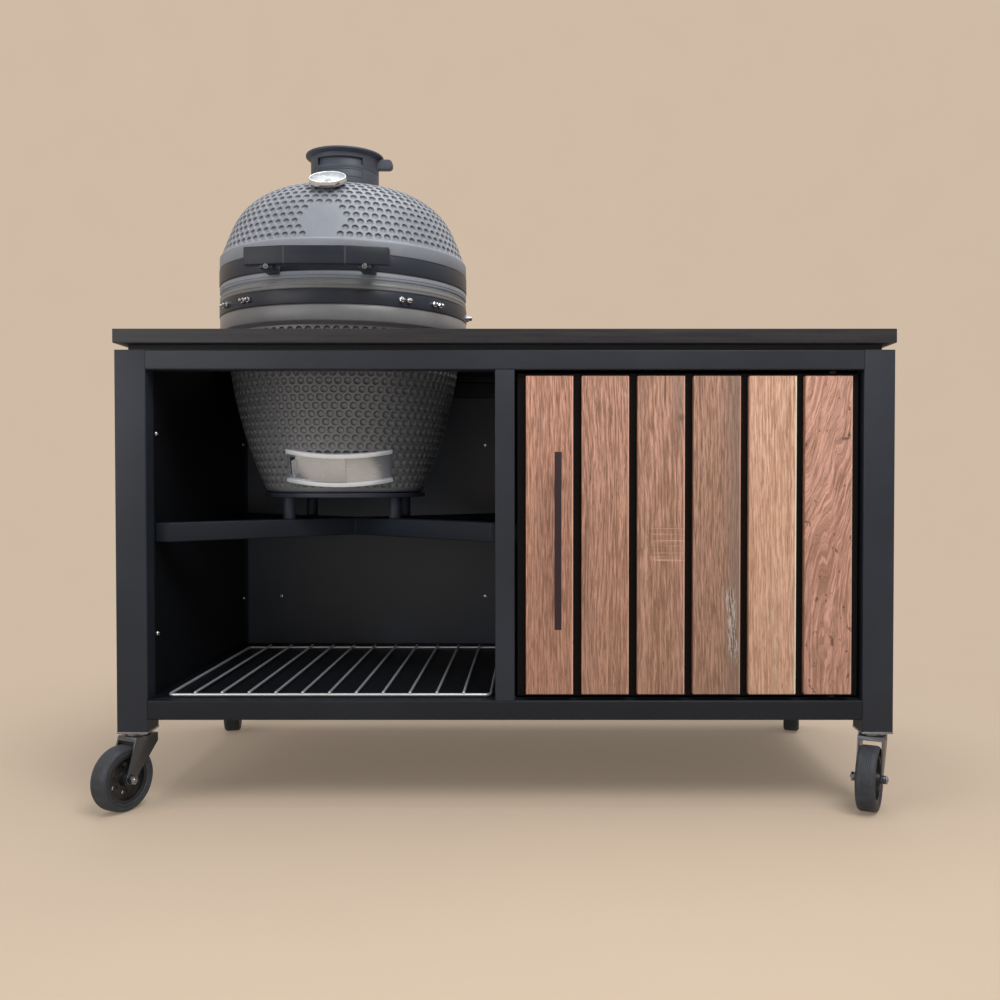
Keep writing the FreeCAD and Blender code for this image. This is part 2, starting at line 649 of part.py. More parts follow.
def build_rack():
    """Wire shelf rack: a rounded rim with cross wires welded on top of it."""
    left = "(rack_margin + rack_wire / 2 - wall_face)"
    right = "(-mid_face - rack_margin - rack_wire / 2)"
    front = "(rack_front + rack_wire / 2 - half_depth)"
    back = "(rack_front + rack_depth - rack_wire / 2 - half_depth)"
    level = "floor_top + rack_wire / 2"
    wires = []
    straight_x = f"{right} - {left} - 2 * rack_corner"
    straight_y = f"{back} - {front} - 2 * rack_corner"
    for name, y in (("front", front), ("back", back)):
        wires.append(rod("rim_" + name, "rack_wire / 2", straight_x, (f"{left} + rack_corner", y, level),
                         "x"))
    for name, x in (("left", left), ("right", right)):
        wires.append(rod("rim_" + name, "rack_wire / 2", straight_y,
                         (x, f"{front} + rack_corner", level), "y"))
    for turn, (x, y) in enumerate((
        (f"{right} - rack_corner", f"{back} - rack_corner"),
        (f"{left} + rack_corner", f"{back} - rack_corner"),
        (f"{left} + rack_corner", f"{front} + rack_corner"),
        (f"{right} - rack_corner", f"{front} + rack_corner"),
    )):
        bend = doc.addObject("Part::Torus", f"rim_bend_{turn}")
        bend.setExpression("Radius1", sized("rack_corner"))
        bend.setExpression("Radius2", sized("rack_wire / 2"))
        bend.Angle3 = 90
        wires.append(place(bend, x, y, level, Rotation(Vector(0, 0, 1), 90 * turn)))
    count = int(number("rack_count"))
    for index in range(1, count + 1):
        x = f"{left} + ({right} - {left}) * {index} / {count + 1}"
        wires.append(rod(f"cross_wire_{index}", "rack_bar / 2", f"{back} - {front} + rack_wire",
                         (x, f"{front} - rack_wire / 2",
                          "floor_top + rack_wire + rack_bar / 2 - weld_sink"), "y"))
    keep(fused("wire_rack", wires), "wire_rack")


def build_door_hardware():
    """Pivot pins with collars on the rails, and the catch on the middle sheet."""
    pins = []
    for name, base, length, collar in (
        ("lower", "floor_top", "tray_bottom - floor_top + pivot_length", "floor_top"),
        ("upper", "tray_top - pivot_length", "leg_top - tube_size - tray_top + pivot_length",
         "tray_top + slip"),
    ):
        pin = rod("pivot_" + name, "pivot_radius", length, ("pivot_x", "pivot_y", base))
        collar_end = "tray_bottom - slip" if name == "lower" else "leg_top - tube_size"
        washer = rod("collar_" + name, "collar_radius", f"{collar_end} - ({collar})",
                     ("pivot_x", "pivot_y", collar))
        pins.append(fused("pivot_pin_" + name, (pin, washer)))
    keep(group("door_pivots", pins), "door_pivots")
    keep(block("door_catch", ("mid_face", "tray_back + slip", "catch_height - catch_size / 2"),
               ("mid_face + catch_size", "tray_back + slip + catch_thickness",
                "catch_height + catch_size / 2")),
         "door_catch")


def build_door():
    """Steel tray, hardwood slats and pull bar."""
    shell = block("tray_shell", ("tray_left", "tray_front", "tray_bottom"),
                  ("tray_right", "tray_back", "tray_top"))
    hollow = block("tray_hollow", ("tray_left + tray_sheet", "tray_front + tray_sheet",
                                   "tray_bottom + tray_sheet"),
                   ("tray_right - tray_sheet", "tray_back + tray_sheet", "tray_top - tray_sheet"))
    bore = rod("tray_bores", "pivot_radius + run_fit", "leg_top", ("pivot_x", "pivot_y", "0"))
    keep(cut("door_frame", shell, hollow, bore), "door_frame")

    count = int(number("slat_count"))
    width = f"(tray_right - tray_left - 2 * slat_side - {count - 1} * slat_gap) / {count}"
    for index in range(count):
        left = f"tray_left + slat_side + {index} * ({width} + slat_gap)"
        label = f"door_slat_{index + 1}"
        keep(block(label, (left, "-half_depth", "tray_bottom + slat_end"),
                   (f"{left} + {width}", "tray_front", "tray_top - slat_end")), label)

    pull_x = "tray_left + pull_inset"
    bar_back = "-half_depth - pull_reach"
    bar = block("pull_bar_block", (f"{pull_x} - pull_bar / 2", f"{bar_back} - pull_bar",
                                   "pull_height - pull_length / 2"),
                (f"{pull_x} + pull_bar / 2", bar_back, "pull_height + pull_length / 2"))
    posts = [
        rod("pull_post_" + name, "pull_post_radius", "pull_reach",
            (pull_x, bar_back, f"pull_height {sign} pull_posts / 2"), "y")
        for name, sign in (("lower", "-"), ("upper", "+"))
    ]
    keep(fused("door_handle", [bar] + posts), "door_handle")


def bowl_outside(spread):
    """Outer line of the bowl from its bottom to its neck, moved out by a clearance."""
    return [
        (f"bowl_flat + {spread}", f"bowl_bottom - {spread}"),
        (f"heel_radius + {spread}", "bowl_bottom + heel_height"),
        (f"neck_radius + {spread}", "bowl_side_top", "bowl_curve", 1),
    ]


def draft_sector(name, inside, outside, bottom, top, first, last):
    """Part of a ring about the leaning axis of the draft plate, between two angles."""
    whole = turned(name + "_ring", [(inside, bottom), (outside, bottom), (outside, top), (inside, top)])
    reach = 2 * number("draft_curve")
    tips = [(reach * math.sin(math.radians(angle)), -reach * math.cos(math.radians(angle)))
            for angle in (first, (first + last) / 2, last)]
    wedge = padded(name + "_wedge", "XY_Plane", [("0", "0")] + [(f"{x}", f"{y}") for x, y in tips],
                   "8 * draft_half")
    return common(name, whole, wedge)


def on_draft(piece):
    """Put a piece on the leaning axis of the draft plate."""
    turn = Rotation(Vector(0, 0, 1), number("draft_turn"))
    lean = Rotation(Vector(1, 0, 0), number("draft_slope"))
    return on_oven(piece, "0", "draft_axis_z", turn.multiply(lean))


def build_draft():
    """Draft frame on the bowl and the door that slides in it; returns the cutter of the bowl window."""
    face = "draft_curve + draft_face"
    plate = draft_sector("draft_plate", "draft_curve - draft_back", face, "-draft_half", "draft_half",
                         -number("draft_span"), number("draft_span"))
    door_face = f"{face} + slip + draft_door_sheet"
    channels = []
    for name, side in (("lower", -1), ("upper", 1)):
        web_low, web_high = sorted((side * number("draft_half - draft_lip / 2"), side * number("draft_half")))
        lip_low, lip_high = sorted((side * number("draft_half - draft_lip"), side * number("draft_half")))
        channels.append(draft_sector("channel_web_" + name, face, "draft_curve + draft_rail", f"{web_low}",
                                     f"{web_high}", -number("draft_span"), number("draft_span")))
        channels.append(draft_sector("channel_lip_" + name, f"{door_face} + slip", "draft_curve + draft_rail",
                                     f"{lip_low}", f"{lip_high}", -number("draft_span"),
                                     number("draft_span")))
    window = draft_sector("draft_hole", "draft_curve - 5 * draft_back", "draft_curve + draft_face + 1",
                          "-draft_window", "draft_window", *DRAFT_WINDOW)
    steel = cut("draft_steel", fused("draft_blank", [plate] + channels), window)
    on_draft(steel)
    seat_line = [("0", "bowl_bottom - seat_fit"), *bowl_outside("seat_fit"), ("0", "bowl_side_top")]
    seat = turned("bowl_seat", seat_line)
    keep(cut("draft_frame", steel, on_oven(seat)), "draft_frame")

    first, last = DRAFT_DOOR
    height = "(draft_half - draft_lip / 2 - slip)"
    leaf = draft_sector("draft_leaf", f"{face} + slip", door_face, f"-{height}", height, first, last)
    tab_width = math.degrees(number("draft_door_sheet") / number("draft_curve"))
    tab = draft_sector("draft_pull", f"{face} + slip", f"{door_face} + draft_tab", "-draft_half / 2",
                       "draft_half / 2",
                       first, first + tab_width)
    keep(on_draft(fused("draft_door", [leaf, tab])), "draft_door")

    opening = draft_sector("bowl_window", "draft_curve - 5 * draft_back", "draft_curve + 2 * draft_rail",
                           "-draft_window", "draft_window", *DRAFT_WINDOW)
    return on_draft(opening)


def build_bowl(window):
    """Stand, ceramic bowl, band, gasket and what lies inside."""
    across = "foot_spread * brace_half_x / brace_half_y"
    along = "foot_offset * brace_half_y / brace_half_x"
    feet = [
        rod(f"foot_{index}", "foot_radius", "foot_height",
            (f"{side} * {across} - bay_middle - foot_offset", f"{end} * (foot_spread - {side} * {along})",
             "brace_top"))
        for index, (side, end) in enumerate(((-1, -1), (1, -1), (-1, 1), (1, 1)))
    ]
    plate = ring("base_plate", "base_bore", "base_radius", "bowl_bottom - base_thickness", "bowl_bottom")
    keep(group("kamado_stand", feet + [plate]), "kamado_stand")

    wall = turned("bowl_wall", [("0", "bowl_bottom")] + bowl_outside("0") + [
        ("neck_radius", "neck_top"),
        ("lip_radius", "lip_bottom"),
        ("lip_radius", "lower_band_bottom"),
        ("band_seat", "lower_band_bottom"),
        ("band_seat", "lower_band_top"),
        ("lip_radius", "lower_band_top"),
        ("lip_radius", "rim_top"),
        ("bowl_inside", "rim_top"),
        ("bowl_inner_neck", "bowl_side_top"),
        ("bowl_inner_foot", "fire_bottom", "bowl_curve", -1),
        ("0", "fire_bottom"),
    ])
    keep(cut("kamado_bowl", on_oven(wall), window), "kamado_bowl")

    keep(ring("lower_band", "band_seat", "band_outside", "lower_band_bottom", "lower_band_top"), "lower_band")
    keep(ring("lower_gasket", "gasket_inside", "gasket_outside", "rim_top", "rim_top + gasket"),
         "lower_gasket")

    pot = turned("fire_pot", [
        ("fire_hole", "fire_bottom"),
        ("fire_foot", "fire_bottom"),
        ("fire_top", "fire_rim"),
        ("fire_top - fire_wall", "fire_rim"),
        ("fire_foot - fire_wall", "fire_bottom + fire_wall"),
        ("fire_hole", "fire_bottom + fire_wall"),
    ])
    slot = oven_block("fire_slot_block", ("-fire_slot / 2", "-fire_top", "fire_bottom + fire_wall / 2"),
                      ("fire_slot / 2", "0", "fire_bottom + 2 * fire_wall"))
    keep(cut("fire_box", on_oven(pot), slot), "fire_box")
    keep(ring("fire_ring", "fire_top - fire_wall", "fire_top", "fire_rim", "ring_top"), "fire_ring")

    disc = rod("coal_disc", "coal_grate_radius", "coal_grate_thickness",
               ("-oven_shift", "0", "fire_bottom + fire_wall"))
    holes = []
    for circle in range(1, int(number("(coal_grate_radius - coal_hole) / coal_row")) + 1):
        count = 6 * circle
        for index in range(count):
            angle = FULL_TURN / count * index
            across = f"coal_row * {circle}"
            holes.append(rod(f"coal_hole_{circle}_{index}", "coal_hole", "3 * coal_grate_thickness",
                             (f"{across} * cos({angle}) - oven_shift", f"{across} * sin({angle})",
                              "fire_bottom + fire_wall - coal_grate_thickness")))
    keep(cut("charcoal_grate", disc, *holes), "charcoal_grate")

    rim = doc.addObject("Part::Torus", "grate_rim")
    rim.setExpression("Radius1", sized("grate_radius - grate_wire"))
    rim.setExpression("Radius2", sized("grate_wire"))
    on_oven(rim, "0", "ring_top + grate_wire")
    count = int(number("grate_count"))
    bars = []
    for index in range(count):
        offset = f"(grate_radius - grate_wire) * {2 * (index + 1) / (count + 1) - 1}"
        half = f"sqrt((grate_radius - grate_wire) ^ 2 - ({offset}) ^ 2)"
        bars.append(rod(f"grate_bar_{index}", "grate_bar", f"2 * {half}",
                        (f"{offset} - oven_shift", f"-{half}", "ring_top + grate_wire"), "y"))
    keep(fused("cooking_grate", [rim] + bars), "cooking_grate")

    bolts = []
    level = "(lower_band_bottom + lower_band_top) / 2"
    half_step = math.degrees(number("bolt_spacing / 2") / number("band_outside"))
    for pair in BOLT_PAIRS:
        for angle in (pair - half_step, pair + half_step):
            turn = Rotation(Vector(0, 0, 1), angle).multiply(Rotation(Vector(1, 0, 0), 90))
            bolts.append(rod(f"bolt_{len(bolts)}", "bolt_radius", "bolt_length",
                             (f"(band_outside + still_fit) * sin({angle}) - oven_shift",
                              f"-(band_outside + still_fit) * cos({angle})", level), turn=turn))
    keep(group("band_bolts", bolts), "band_bolts")


def round_seat(name):
    """Cutter that seats a bracket on the bands."""
    return rod(name, "band_outside + seat_fit", "rim_top", ("-oven_shift", "0", "rim_top / 2"))


def build_hinge():
    """Rear bracket and pin on the lower band, and the arm on the upper band."""
    half = "(knuckle_length / 2 + slip + ear_thickness)"
    foot = oven_block("hinge_foot", (f"-{half}", "band_outside - knuckle_radius", "lower_band_bottom"),
                      (half, "hinge_y - knuckle_radius", "lower_band_top"))
    ears = [
        oven_block("hinge_ear_" + name, (low, "hinge_y - 1.6 * knuckle_radius", "lower_band_bottom"),
                   (f"{low} + ear_thickness", "hinge_y + knuckle_radius", "hinge_z + knuckle_radius"))
        for name, low in (("left", f"-{half}"), ("right", "knuckle_length / 2 + slip"))
    ]
    bore = rod("ear_bore", "hinge_pin_radius + still_fit", f"4 * {half}",
               (f"-oven_shift - 2 * {half}", "hinge_y", "hinge_z"), "x")
    keep(cut("hinge_base", fused("hinge_bracket", [foot] + ears), round_seat("hinge_seat"), bore),
         "hinge_base")
    keep(rod("hinge_pin", "hinge_pin_radius", f"2 * {half} + hinge_pin_radius",
             (f"-oven_shift - {half} - hinge_pin_radius / 2", "hinge_y", "hinge_z"), "x"), "hinge_pin")

    knuckle = rod("hinge_knuckle", "knuckle_radius", "knuckle_length",
                  ("-oven_shift - knuckle_length / 2", "hinge_y", "hinge_z"), "x")
    web = oven_block("hinge_web", ("-knuckle_length / 2", "hinge_y - knuckle_radius", "hinge_z"),
                     ("knuckle_length / 2", "hinge_y + knuckle_radius", "upper_band_top"))
    pad = oven_block("hinge_pad", ("-knuckle_length / 2", "band_outside - knuckle_radius",
                                   "upper_band_bottom"),
                     ("knuckle_length / 2", "hinge_y", "upper_band_top"))
    eye = rod("hinge_eye", "hinge_pin_radius + run_fit", "2 * knuckle_length",
              ("-oven_shift - knuckle_length", "hinge_y", "hinge_z"), "x")
    keep(cut("hinge_arm", fused("hinge_arm_blank", (knuckle, web, pad)), round_seat("hinge_arm_seat"),
             eye), "hinge_arm")


def build_dome():
    """Ceramic dome with its band and gasket."""
    shoulder = ("crown_radius + crown_curve * cos(shoulder_angle)",
                "crown_centre + crown_curve * sin(shoulder_angle)")
    inner = ("crown_radius + inner_crown_curve * cos(shoulder_angle)",
             "crown_centre + inner_crown_curve * sin(shoulder_angle)")
    wall = turned("dome_wall_turned", [
        ("bowl_inside", "dome_bottom"),
        ("lip_radius", "dome_bottom"),
        ("lip_radius", "upper_band_bottom"),
        ("band_seat", "upper_band_bottom"),
        ("band_seat", "upper_band_top"),
        ("lip_radius", "upper_band_top"),
        ("lip_radius", "dome_lip_top - band_groove"),
        ("dome_foot", "dome_lip_top"),
        (*shoulder, "dome_side_curve", 1),
        ("crown_radius", "crown_top", "crown_curve", 1),
        ("vent_bore", "crown_top"),
        ("vent_bore", "crown_top - dome_wall"),
        ("crown_radius", "crown_top - dome_wall"),
        (*inner, "inner_crown_curve", -1),
        ("bowl_inside", "dome_bottom + dome_inner_lip", "dome_side_curve - dome_wall", -1),
    ])
    stem_hole = dial_rod("stem_hole", "dial_neck + slip", "2 * stem_length", "-stem_length")
    keep(cut("kamado_dome", on_oven(wall), stem_hole), "kamado_dome")
    keep(ring("upper_band", "band_seat", "band_outside", "upper_band_bottom", "upper_band_top"), "upper_band")
    keep(ring("upper_gasket", "gasket_inside", "gasket_outside", "dome_bottom - gasket", "dome_bottom"),
         "upper_gasket")


def on_dial(piece, lift="0"):
    """Put a piece on the thermometer axis, above the dome by a lift."""
    turn = Rotation(Vector(1, 0, 0), 90 - number("dial_slope"))
    return on_oven(piece, f"-dial_reach - ({lift}) * cos(dial_slope)",
                   f"dial_height + ({lift}) * sin(dial_slope)", turn)


def dial_rod(name, radius, length, lift):
    """Round bar along the thermometer axis."""
    solid = doc.addObject("Part::Cylinder", name)
    solid.setExpression("Radius", sized(radius))
    solid.setExpression("Height", sized(length))
    return on_dial(solid, lift)


def build_thermometer():
    """Case with its stem, glass and needle."""
    rim = "dial_lift + dial_depth"
    floor = "dial_lift + dial_floor"
    pin_top = f"{floor} + needle_height + 3 * slip"
    case = turned("thermometer_case", [
        ("0", "dial_lift - stem_length"),
        ("dial_neck", "dial_lift - stem_length"),
        ("dial_neck", "dial_lift"),
        ("dial_radius", "dial_lift"),
        ("dial_radius", rim),
        ("dial_bore", rim),
        ("dial_bore", floor),
        ("needle_pin", floor),
        ("needle_pin", pin_top),
        ("0", pin_top),
    ])
    keep(on_dial(case), "thermometer_case")
    keep(dial_rod("thermometer_dial", "dial_bore - still_fit", "glass", f"{rim} - glass"), "thermometer_dial")

    blade = block("needle_blade", ("-needle_width / 2", "-needle_length", "0"),
                  ("needle_width / 2", "needle_length / 3", "needle_height"))
    eye = rod("needle_eye", "2 * needle_width", "needle_height", ("0", "0", "0"))
    hole = rod("needle_hole", "needle_pin + run_fit", "3 * needle_height", ("0", "0", "-needle_height"))
    needle = cut("thermometer_needle", fused("needle_blank", (blade, eye)), hole)
    keep(on_dial(needle, f"{floor} + slip"), "thermometer_needle")


def build_vent():
    """Vent chimney with side windows and the cap that turns over it."""
    neck = "sleeve_inside - run_fit"
    shaft_top = "vent_top - cap_top - slip"
    shaft = turned("vent_shaft", [
        ("vent_bore", "crown_top"),
        ("vent_radius", "crown_top"),
        ("vent_radius", "collar_top"),
        (neck, "collar_top"),
        (neck, shaft_top),
        ("vent_bore", shaft_top),
    ])
    side_slot = oven_block("vent_side_slot", ("-cap_flange", "-vent_slot_width / 2", "slot_bottom"),
                           ("cap_flange", "vent_slot_width / 2", "slot_top"))
    keep(cut("vent_chimney", on_oven(shaft), side_slot), "vent_chimney")

    shell = turned("cap_shell", [
        ("0", "vent_top - cap_top"),
        ("sleeve_inside", "vent_top - cap_top"),
        ("sleeve_inside", "collar_top + slip"),
        ("vent_radius", "collar_top + slip"),
        ("vent_radius", "vent_top - cap_top"),
        ("cap_flange", "vent_top - cap_top"),
        ("cap_flange", "vent_top"),
        ("0", "vent_top"),
    ])
    front_slot = oven_block("vent_front_slot", ("-vent_slot_width / 2", "-cap_flange", "slot_bottom"),
                            ("vent_slot_width / 2", "cap_flange", "slot_top"))
    tab_solid = oven_block("cap_tab", ("(sleeve_inside + vent_radius) / 2", "-tab_width / 2",
                                       "vent_top - tab_drop - tab_height"),
                           ("tab_reach", "tab_width / 2", "vent_top - tab_drop"))
    bore = rod("cap_bore", "sleeve_inside", "vent_top - cap_top - collar_top",
               ("-oven_shift", "0", "collar_top"))
    keep(cut("vent_cap", fused("cap_blank", (on_oven(shell), cut("cap_tab_cut", tab_solid, bore))),
             front_slot), "vent_cap")


def build_lid_handle():
    """Swept handle and the two brackets that hold it on the upper band."""
    mid, tip = "handle_middle / 2", "handle_length / 2"
    front, back = "-handle_front", "handle_thickness - handle_front"
    bar = padded("lid_handle", "XY_Plane", [
        (f"-{tip}", f"{front} + handle_sweep"),
        (f"-{mid}", front),
        (mid, front),
        (tip, f"{front} + handle_sweep"),
        (tip, f"{back} + handle_sweep"),
        (mid, back),
        (f"-{mid}", back),
        (f"-{tip}", f"{back} + handle_sweep"),
    ], "handle_height", both_ways=False)
    keep(on_oven(bar, "0", "handle_bottom"), "lid_handle")

    brackets = []
    for name, middle in (("left", "-bracket_spread"), ("right", "bracket_spread")):
        low_x, high_x = f"{middle} - bracket_width / 2", f"{middle} + bracket_width / 2"
        under = "handle_bottom - bracket_thickness"
        arm = oven_block("bracket_arm_" + name, (low_x, f"{front} + handle_thickness / 2", under),
                         (high_x, "-band_outside * 0.8", "handle_bottom"))
        heel = oven_block("bracket_heel_" + name,
                          (low_x, "-sqrt(band_outside ^ 2 - bracket_spread ^ 2) - bracket_thickness", under),
                          (high_x, "-band_outside * 0.8", "upper_band_top"))
        brackets.append(cut("bracket_" + name, fused("bracket_blank_" + name, (arm, heel)),
                            round_seat("bracket_seat_" + name)))
    keep(group("handle_brackets", brackets), "handle_brackets")


def build_casters():
    """Top plates on the legs, and for each caster a fork, a hub and a tyre."""
    plates = []
    for name, side, end, swivel in CASTERS:
        leg_x = f"{side} * (half_width - leg_size / 2)"
        leg_y = f"{end} * (half_depth - leg_size / 2)"
        plate = block("plate_" + name, (f"{leg_x} - leg_size / 2", f"{leg_y} - leg_size / 2",
                                        "caster_height - caster_plate"),
                      (f"{leg_x} + leg_size / 2", f"{leg_y} + leg_size / 2", "caster_height"))
        race = rod("race_" + name, "race_radius", "race_height", (leg_x, leg_y, "race_bottom"))
        pin = rod("kingpin_" + name, "kingpin_radius", "crown_thickness + 2 * slip",
                  (leg_x, leg_y, "fork_under - slip"))
        head = rod("kingpin_head_" + name, "kingpin_head", "kingpin_head_height",
                   (leg_x, leg_y, "fork_under - slip - kingpin_head_height"))
        plates.append(fused("caster_plate_" + name, (plate, race, pin, head)))

        turn = Rotation(Vector(0, 0, 1), swivel)
        fork = group("fork_" + name, (fork_solid(name), axle_solid(name)))
        keep(place(fork, leg_x, leg_y, "0", turn), "caster_fork_" + name)
        axle_x = f"{leg_x} + caster_trail * sin({swivel})"
        axle_y = f"{leg_y} - caster_trail * cos({swivel})"
        wheel_turn = turn.multiply(Rotation(Vector(0, 1, 0), 90))
        for piece, label in ((hub_solid(name), "caster_hub_"), (tyre_solid(name), "caster_tyre_")):
            keep(place(piece, axle_x, axle_y, "wheel_radius", wheel_turn), label + name)
    keep(group("caster_plates", plates), "caster_plates")


def fork_solid(name):
    """Fork with its wheel trailing to the front of the swivel axis."""
    cheeks = padded("cheeks_" + name, "YZ_Plane", [
        ("crown_round", "fork_top"),
        ("-crown_round", "fork_top"),
        ("-caster_trail - fork_boss", "wheel_radius"),
        ("fork_boss - caster_trail", "wheel_radius", "fork_boss * 1.05", 1),
        ("crown_round", "fork_under - crown_thickness"),
    ], "2 * fork_outside")
    crown = rod("fork_crown_" + name, "crown_round", "crown_thickness", ("0", "0", "fork_under"))
    gap = block("fork_gap_" + name, ("-fork_inside", "-caster_trail - 2 * wheel_radius", "0"),
                ("fork_inside", "2 * crown_round", "fork_under"))
    swivel_bore = rod("fork_bore_" + name, "kingpin_radius + run_fit", "fork_top", ("0", "0", "wheel_radius"))
    axle_bore = rod("fork_axle_bore_" + name, "axle_radius + still_fit", "4 * fork_outside",
                    ("-2 * fork_outside", "-caster_trail", "wheel_radius"), "x")
    return cut("fork_steel_" + name, fused("fork_blank_" + name, (cheeks, crown)), gap, swivel_bore,
               axle_bore)


def axle_solid(name):
    """Axle bolt with a head at each end."""
    bar = rod("axle_bar_" + name, "axle_radius", "2 * fork_outside",
              ("-fork_outside", "-caster_trail", "wheel_radius"), "x")
    heads = [
        rod(f"axle_head_{side}_{name}", "axle_head", "axle_head_height",
            (x, "-caster_trail", "wheel_radius"), "x")
        for side, x in (("left", "-fork_outside - axle_head_height"), ("right", "fork_outside"))
    ]
    return fused("axle_" + name, [bar] + heads)


def hub_solid(name):
    """Wheel hub: rim, web with lightening holes, and boss."""
    bore, half_boss = "axle_radius + run_fit", "fork_inside - slip"
    wheel = turned("hub_wheel_" + name, [
        (bore, f"-({half_boss})"),
        ("hub_boss", f"-({half_boss})"),
        ("hub_boss", "-hub_web / 2"),
        ("hub_rim", "-hub_web / 2"),
        ("hub_rim", "-tyre_side"),
        ("tyre_bore - still_fit", "-tyre_side"),
        ("tyre_bore - still_fit", "tyre_side"),
        ("hub_rim", "tyre_side"),
        ("hub_rim", "hub_web / 2"),
        ("hub_boss", "hub_web / 2"),
        ("hub_boss", half_boss),
        (bore, half_boss),
    ])
    count = 6
    holes = [
        rod(f"hub_hole_{index}_{name}", "hub_hole", "2 * hub_web",
            (f"hub_hole_circle * cos({FULL_TURN / count * index})",
             f"hub_hole_circle * sin({FULL_TURN / count * index})", "-hub_web"))
        for index in range(count)
    ]
    return cut("hub_" + name, wheel, *holes)


def tyre_solid(name):
    """Rubber tyre with round shoulders."""
    half, shoulder = "wheel_width / 2", "(wheel_width / 6)"
    return turned("tyre_" + name, [
        ("tyre_bore", "-tyre_side"),
        (f"wheel_radius - {shoulder}", f"-{half}"),
        ("wheel_radius", f"{shoulder} - {half}", f"{shoulder} * 1.02", 1),
        ("wheel_radius", f"{half} - {shoulder}"),
        (f"wheel_radius - {shoulder}", half, f"{shoulder} * 1.02", 1),
        ("tyre_bore", "tyre_side"),
    ])


build_frame()
build_worktop()
build_sheets()
build_brace()
build_rack()
build_door_hardware()
build_door()
build_bowl(build_draft())
build_hinge()
build_dome()
build_thermometer()
build_vent()
build_lid_handle()
build_casters()
doc.recompute()

faults = [piece.Label for piece in doc.Objects if {"Invalid", "Error"} & set(piece.State)]
faults += [piece.Label for piece in nodes if piece.Shape.isNull() or not piece.Shape.isValid()]
if faults:
    raise RuntimeError("pieces that failed: " + ", ".join(faults))
os.makedirs("parts", exist_ok=True)
for piece in nodes:
    piece.Shape.exportStep(f"parts/{piece.Label}.step")
print(len(nodes), "pieces written")
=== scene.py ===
"""Outdoor kitchen unit: a dimpled ceramic oven in a black steel cabinet with a slatted hardwood door."""

import json
import math

import bmesh
import bpy
from bpy.props import FloatProperty, FloatVectorProperty, IntProperty, PointerProperty
from mathutils import Matrix, Vector

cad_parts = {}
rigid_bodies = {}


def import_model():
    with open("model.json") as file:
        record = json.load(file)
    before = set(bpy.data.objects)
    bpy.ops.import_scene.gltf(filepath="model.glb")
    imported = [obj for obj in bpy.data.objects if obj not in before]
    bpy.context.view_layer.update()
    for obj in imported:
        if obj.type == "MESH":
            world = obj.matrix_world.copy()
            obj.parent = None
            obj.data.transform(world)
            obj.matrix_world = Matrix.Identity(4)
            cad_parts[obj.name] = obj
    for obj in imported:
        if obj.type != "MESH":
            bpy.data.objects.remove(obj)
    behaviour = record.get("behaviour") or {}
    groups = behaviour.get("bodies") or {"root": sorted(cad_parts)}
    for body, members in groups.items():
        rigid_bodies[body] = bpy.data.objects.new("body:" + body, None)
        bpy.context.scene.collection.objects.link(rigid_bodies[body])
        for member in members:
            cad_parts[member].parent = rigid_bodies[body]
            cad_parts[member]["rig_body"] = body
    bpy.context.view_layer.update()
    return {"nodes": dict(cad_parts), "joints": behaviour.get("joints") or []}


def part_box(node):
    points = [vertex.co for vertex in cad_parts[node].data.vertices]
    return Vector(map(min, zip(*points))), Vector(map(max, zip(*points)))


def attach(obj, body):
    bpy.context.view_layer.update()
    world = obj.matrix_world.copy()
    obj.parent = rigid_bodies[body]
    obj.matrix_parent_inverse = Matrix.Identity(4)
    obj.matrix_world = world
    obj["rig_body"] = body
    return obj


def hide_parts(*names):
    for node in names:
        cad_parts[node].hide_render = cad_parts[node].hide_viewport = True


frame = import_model()
nodes = frame["nodes"]

bl_info = {
    "name": "Outdoor kitchen unit",
    "version": (1, 0, 0),
    "blender": (4, 5, 0),
    "location": "View3D > Sidebar > Kitchen",
    "description": "Dresses the steel, ceramic and hardwood of an outdoor kitchen unit",
    "category": "Object",
}

CORNERS = ("front_left", "front_right", "rear_left", "rear_right")
SLAT_COUNT = 6
TURN = 2 * math.pi
FRONT = Vector((0, -1, 0))
# Points of a mesh nearer than this are one point
SAME_POINT = 1e-6


def metres(label, meaning, value):
    """Length that a user may change."""
    return FloatProperty(name=label, description=meaning, default=value, min=0, unit="LENGTH", precision=5)


def tint(label, meaning, value):
    """Colour that a user may change."""
    return FloatVectorProperty(
        name=label, description=meaning, default=value, size=3, subtype="COLOR", min=0, max=1
    )


class KitchenSizes(bpy.types.PropertyGroup):
    """Sizes of the dressed pieces."""

    edge: metres("Edge", "Rounded edge of bent steel", 0.0009)
    tube_edge: metres("Tube edge", "Rounded edge of square tube", 0.0018)
    slat_edge: metres("Slat edge", "Eased edge of a hardwood slat", 0.0016)
    slab_edge: metres("Slab edge", "Eased edge of the worktop", 0.0018)
    handle_edge: metres("Handle edge", "Rounded edge of the lid handle", 0.0022)
    dimple_pitch: metres("Dimple pitch", "Distance between dimples along a row", 0.0192)
    dome_row: metres("Dome row", "Distance between the rows of the dome", 0.0154)
    dome_dimple: metres("Dome dimple", "Radius of a dimple in the dome", 0.0074)
    dome_depth: metres("Dome dimple depth", "Depth of a dimple in the dome", 0.0042)
    bowl_row: metres("Bowl row", "Distance between the rows of the bowl", 0.0166)
    bowl_dimple: metres("Bowl dimple", "Radius of a dimple in the bowl", 0.0079)
    bowl_depth: metres("Bowl dimple depth", "Depth of a dimple in the bowl", 0.004)
    patch_width: metres("Patch width", "Half width of the plain patch on the dome", 0.05)
    patch_height: metres("Patch height", "Half height of the plain patch on the dome", 0.0415)
    columns: IntProperty(
        name="Columns", description="Facets round the plain parts of the oven", default=288, min=60
    )


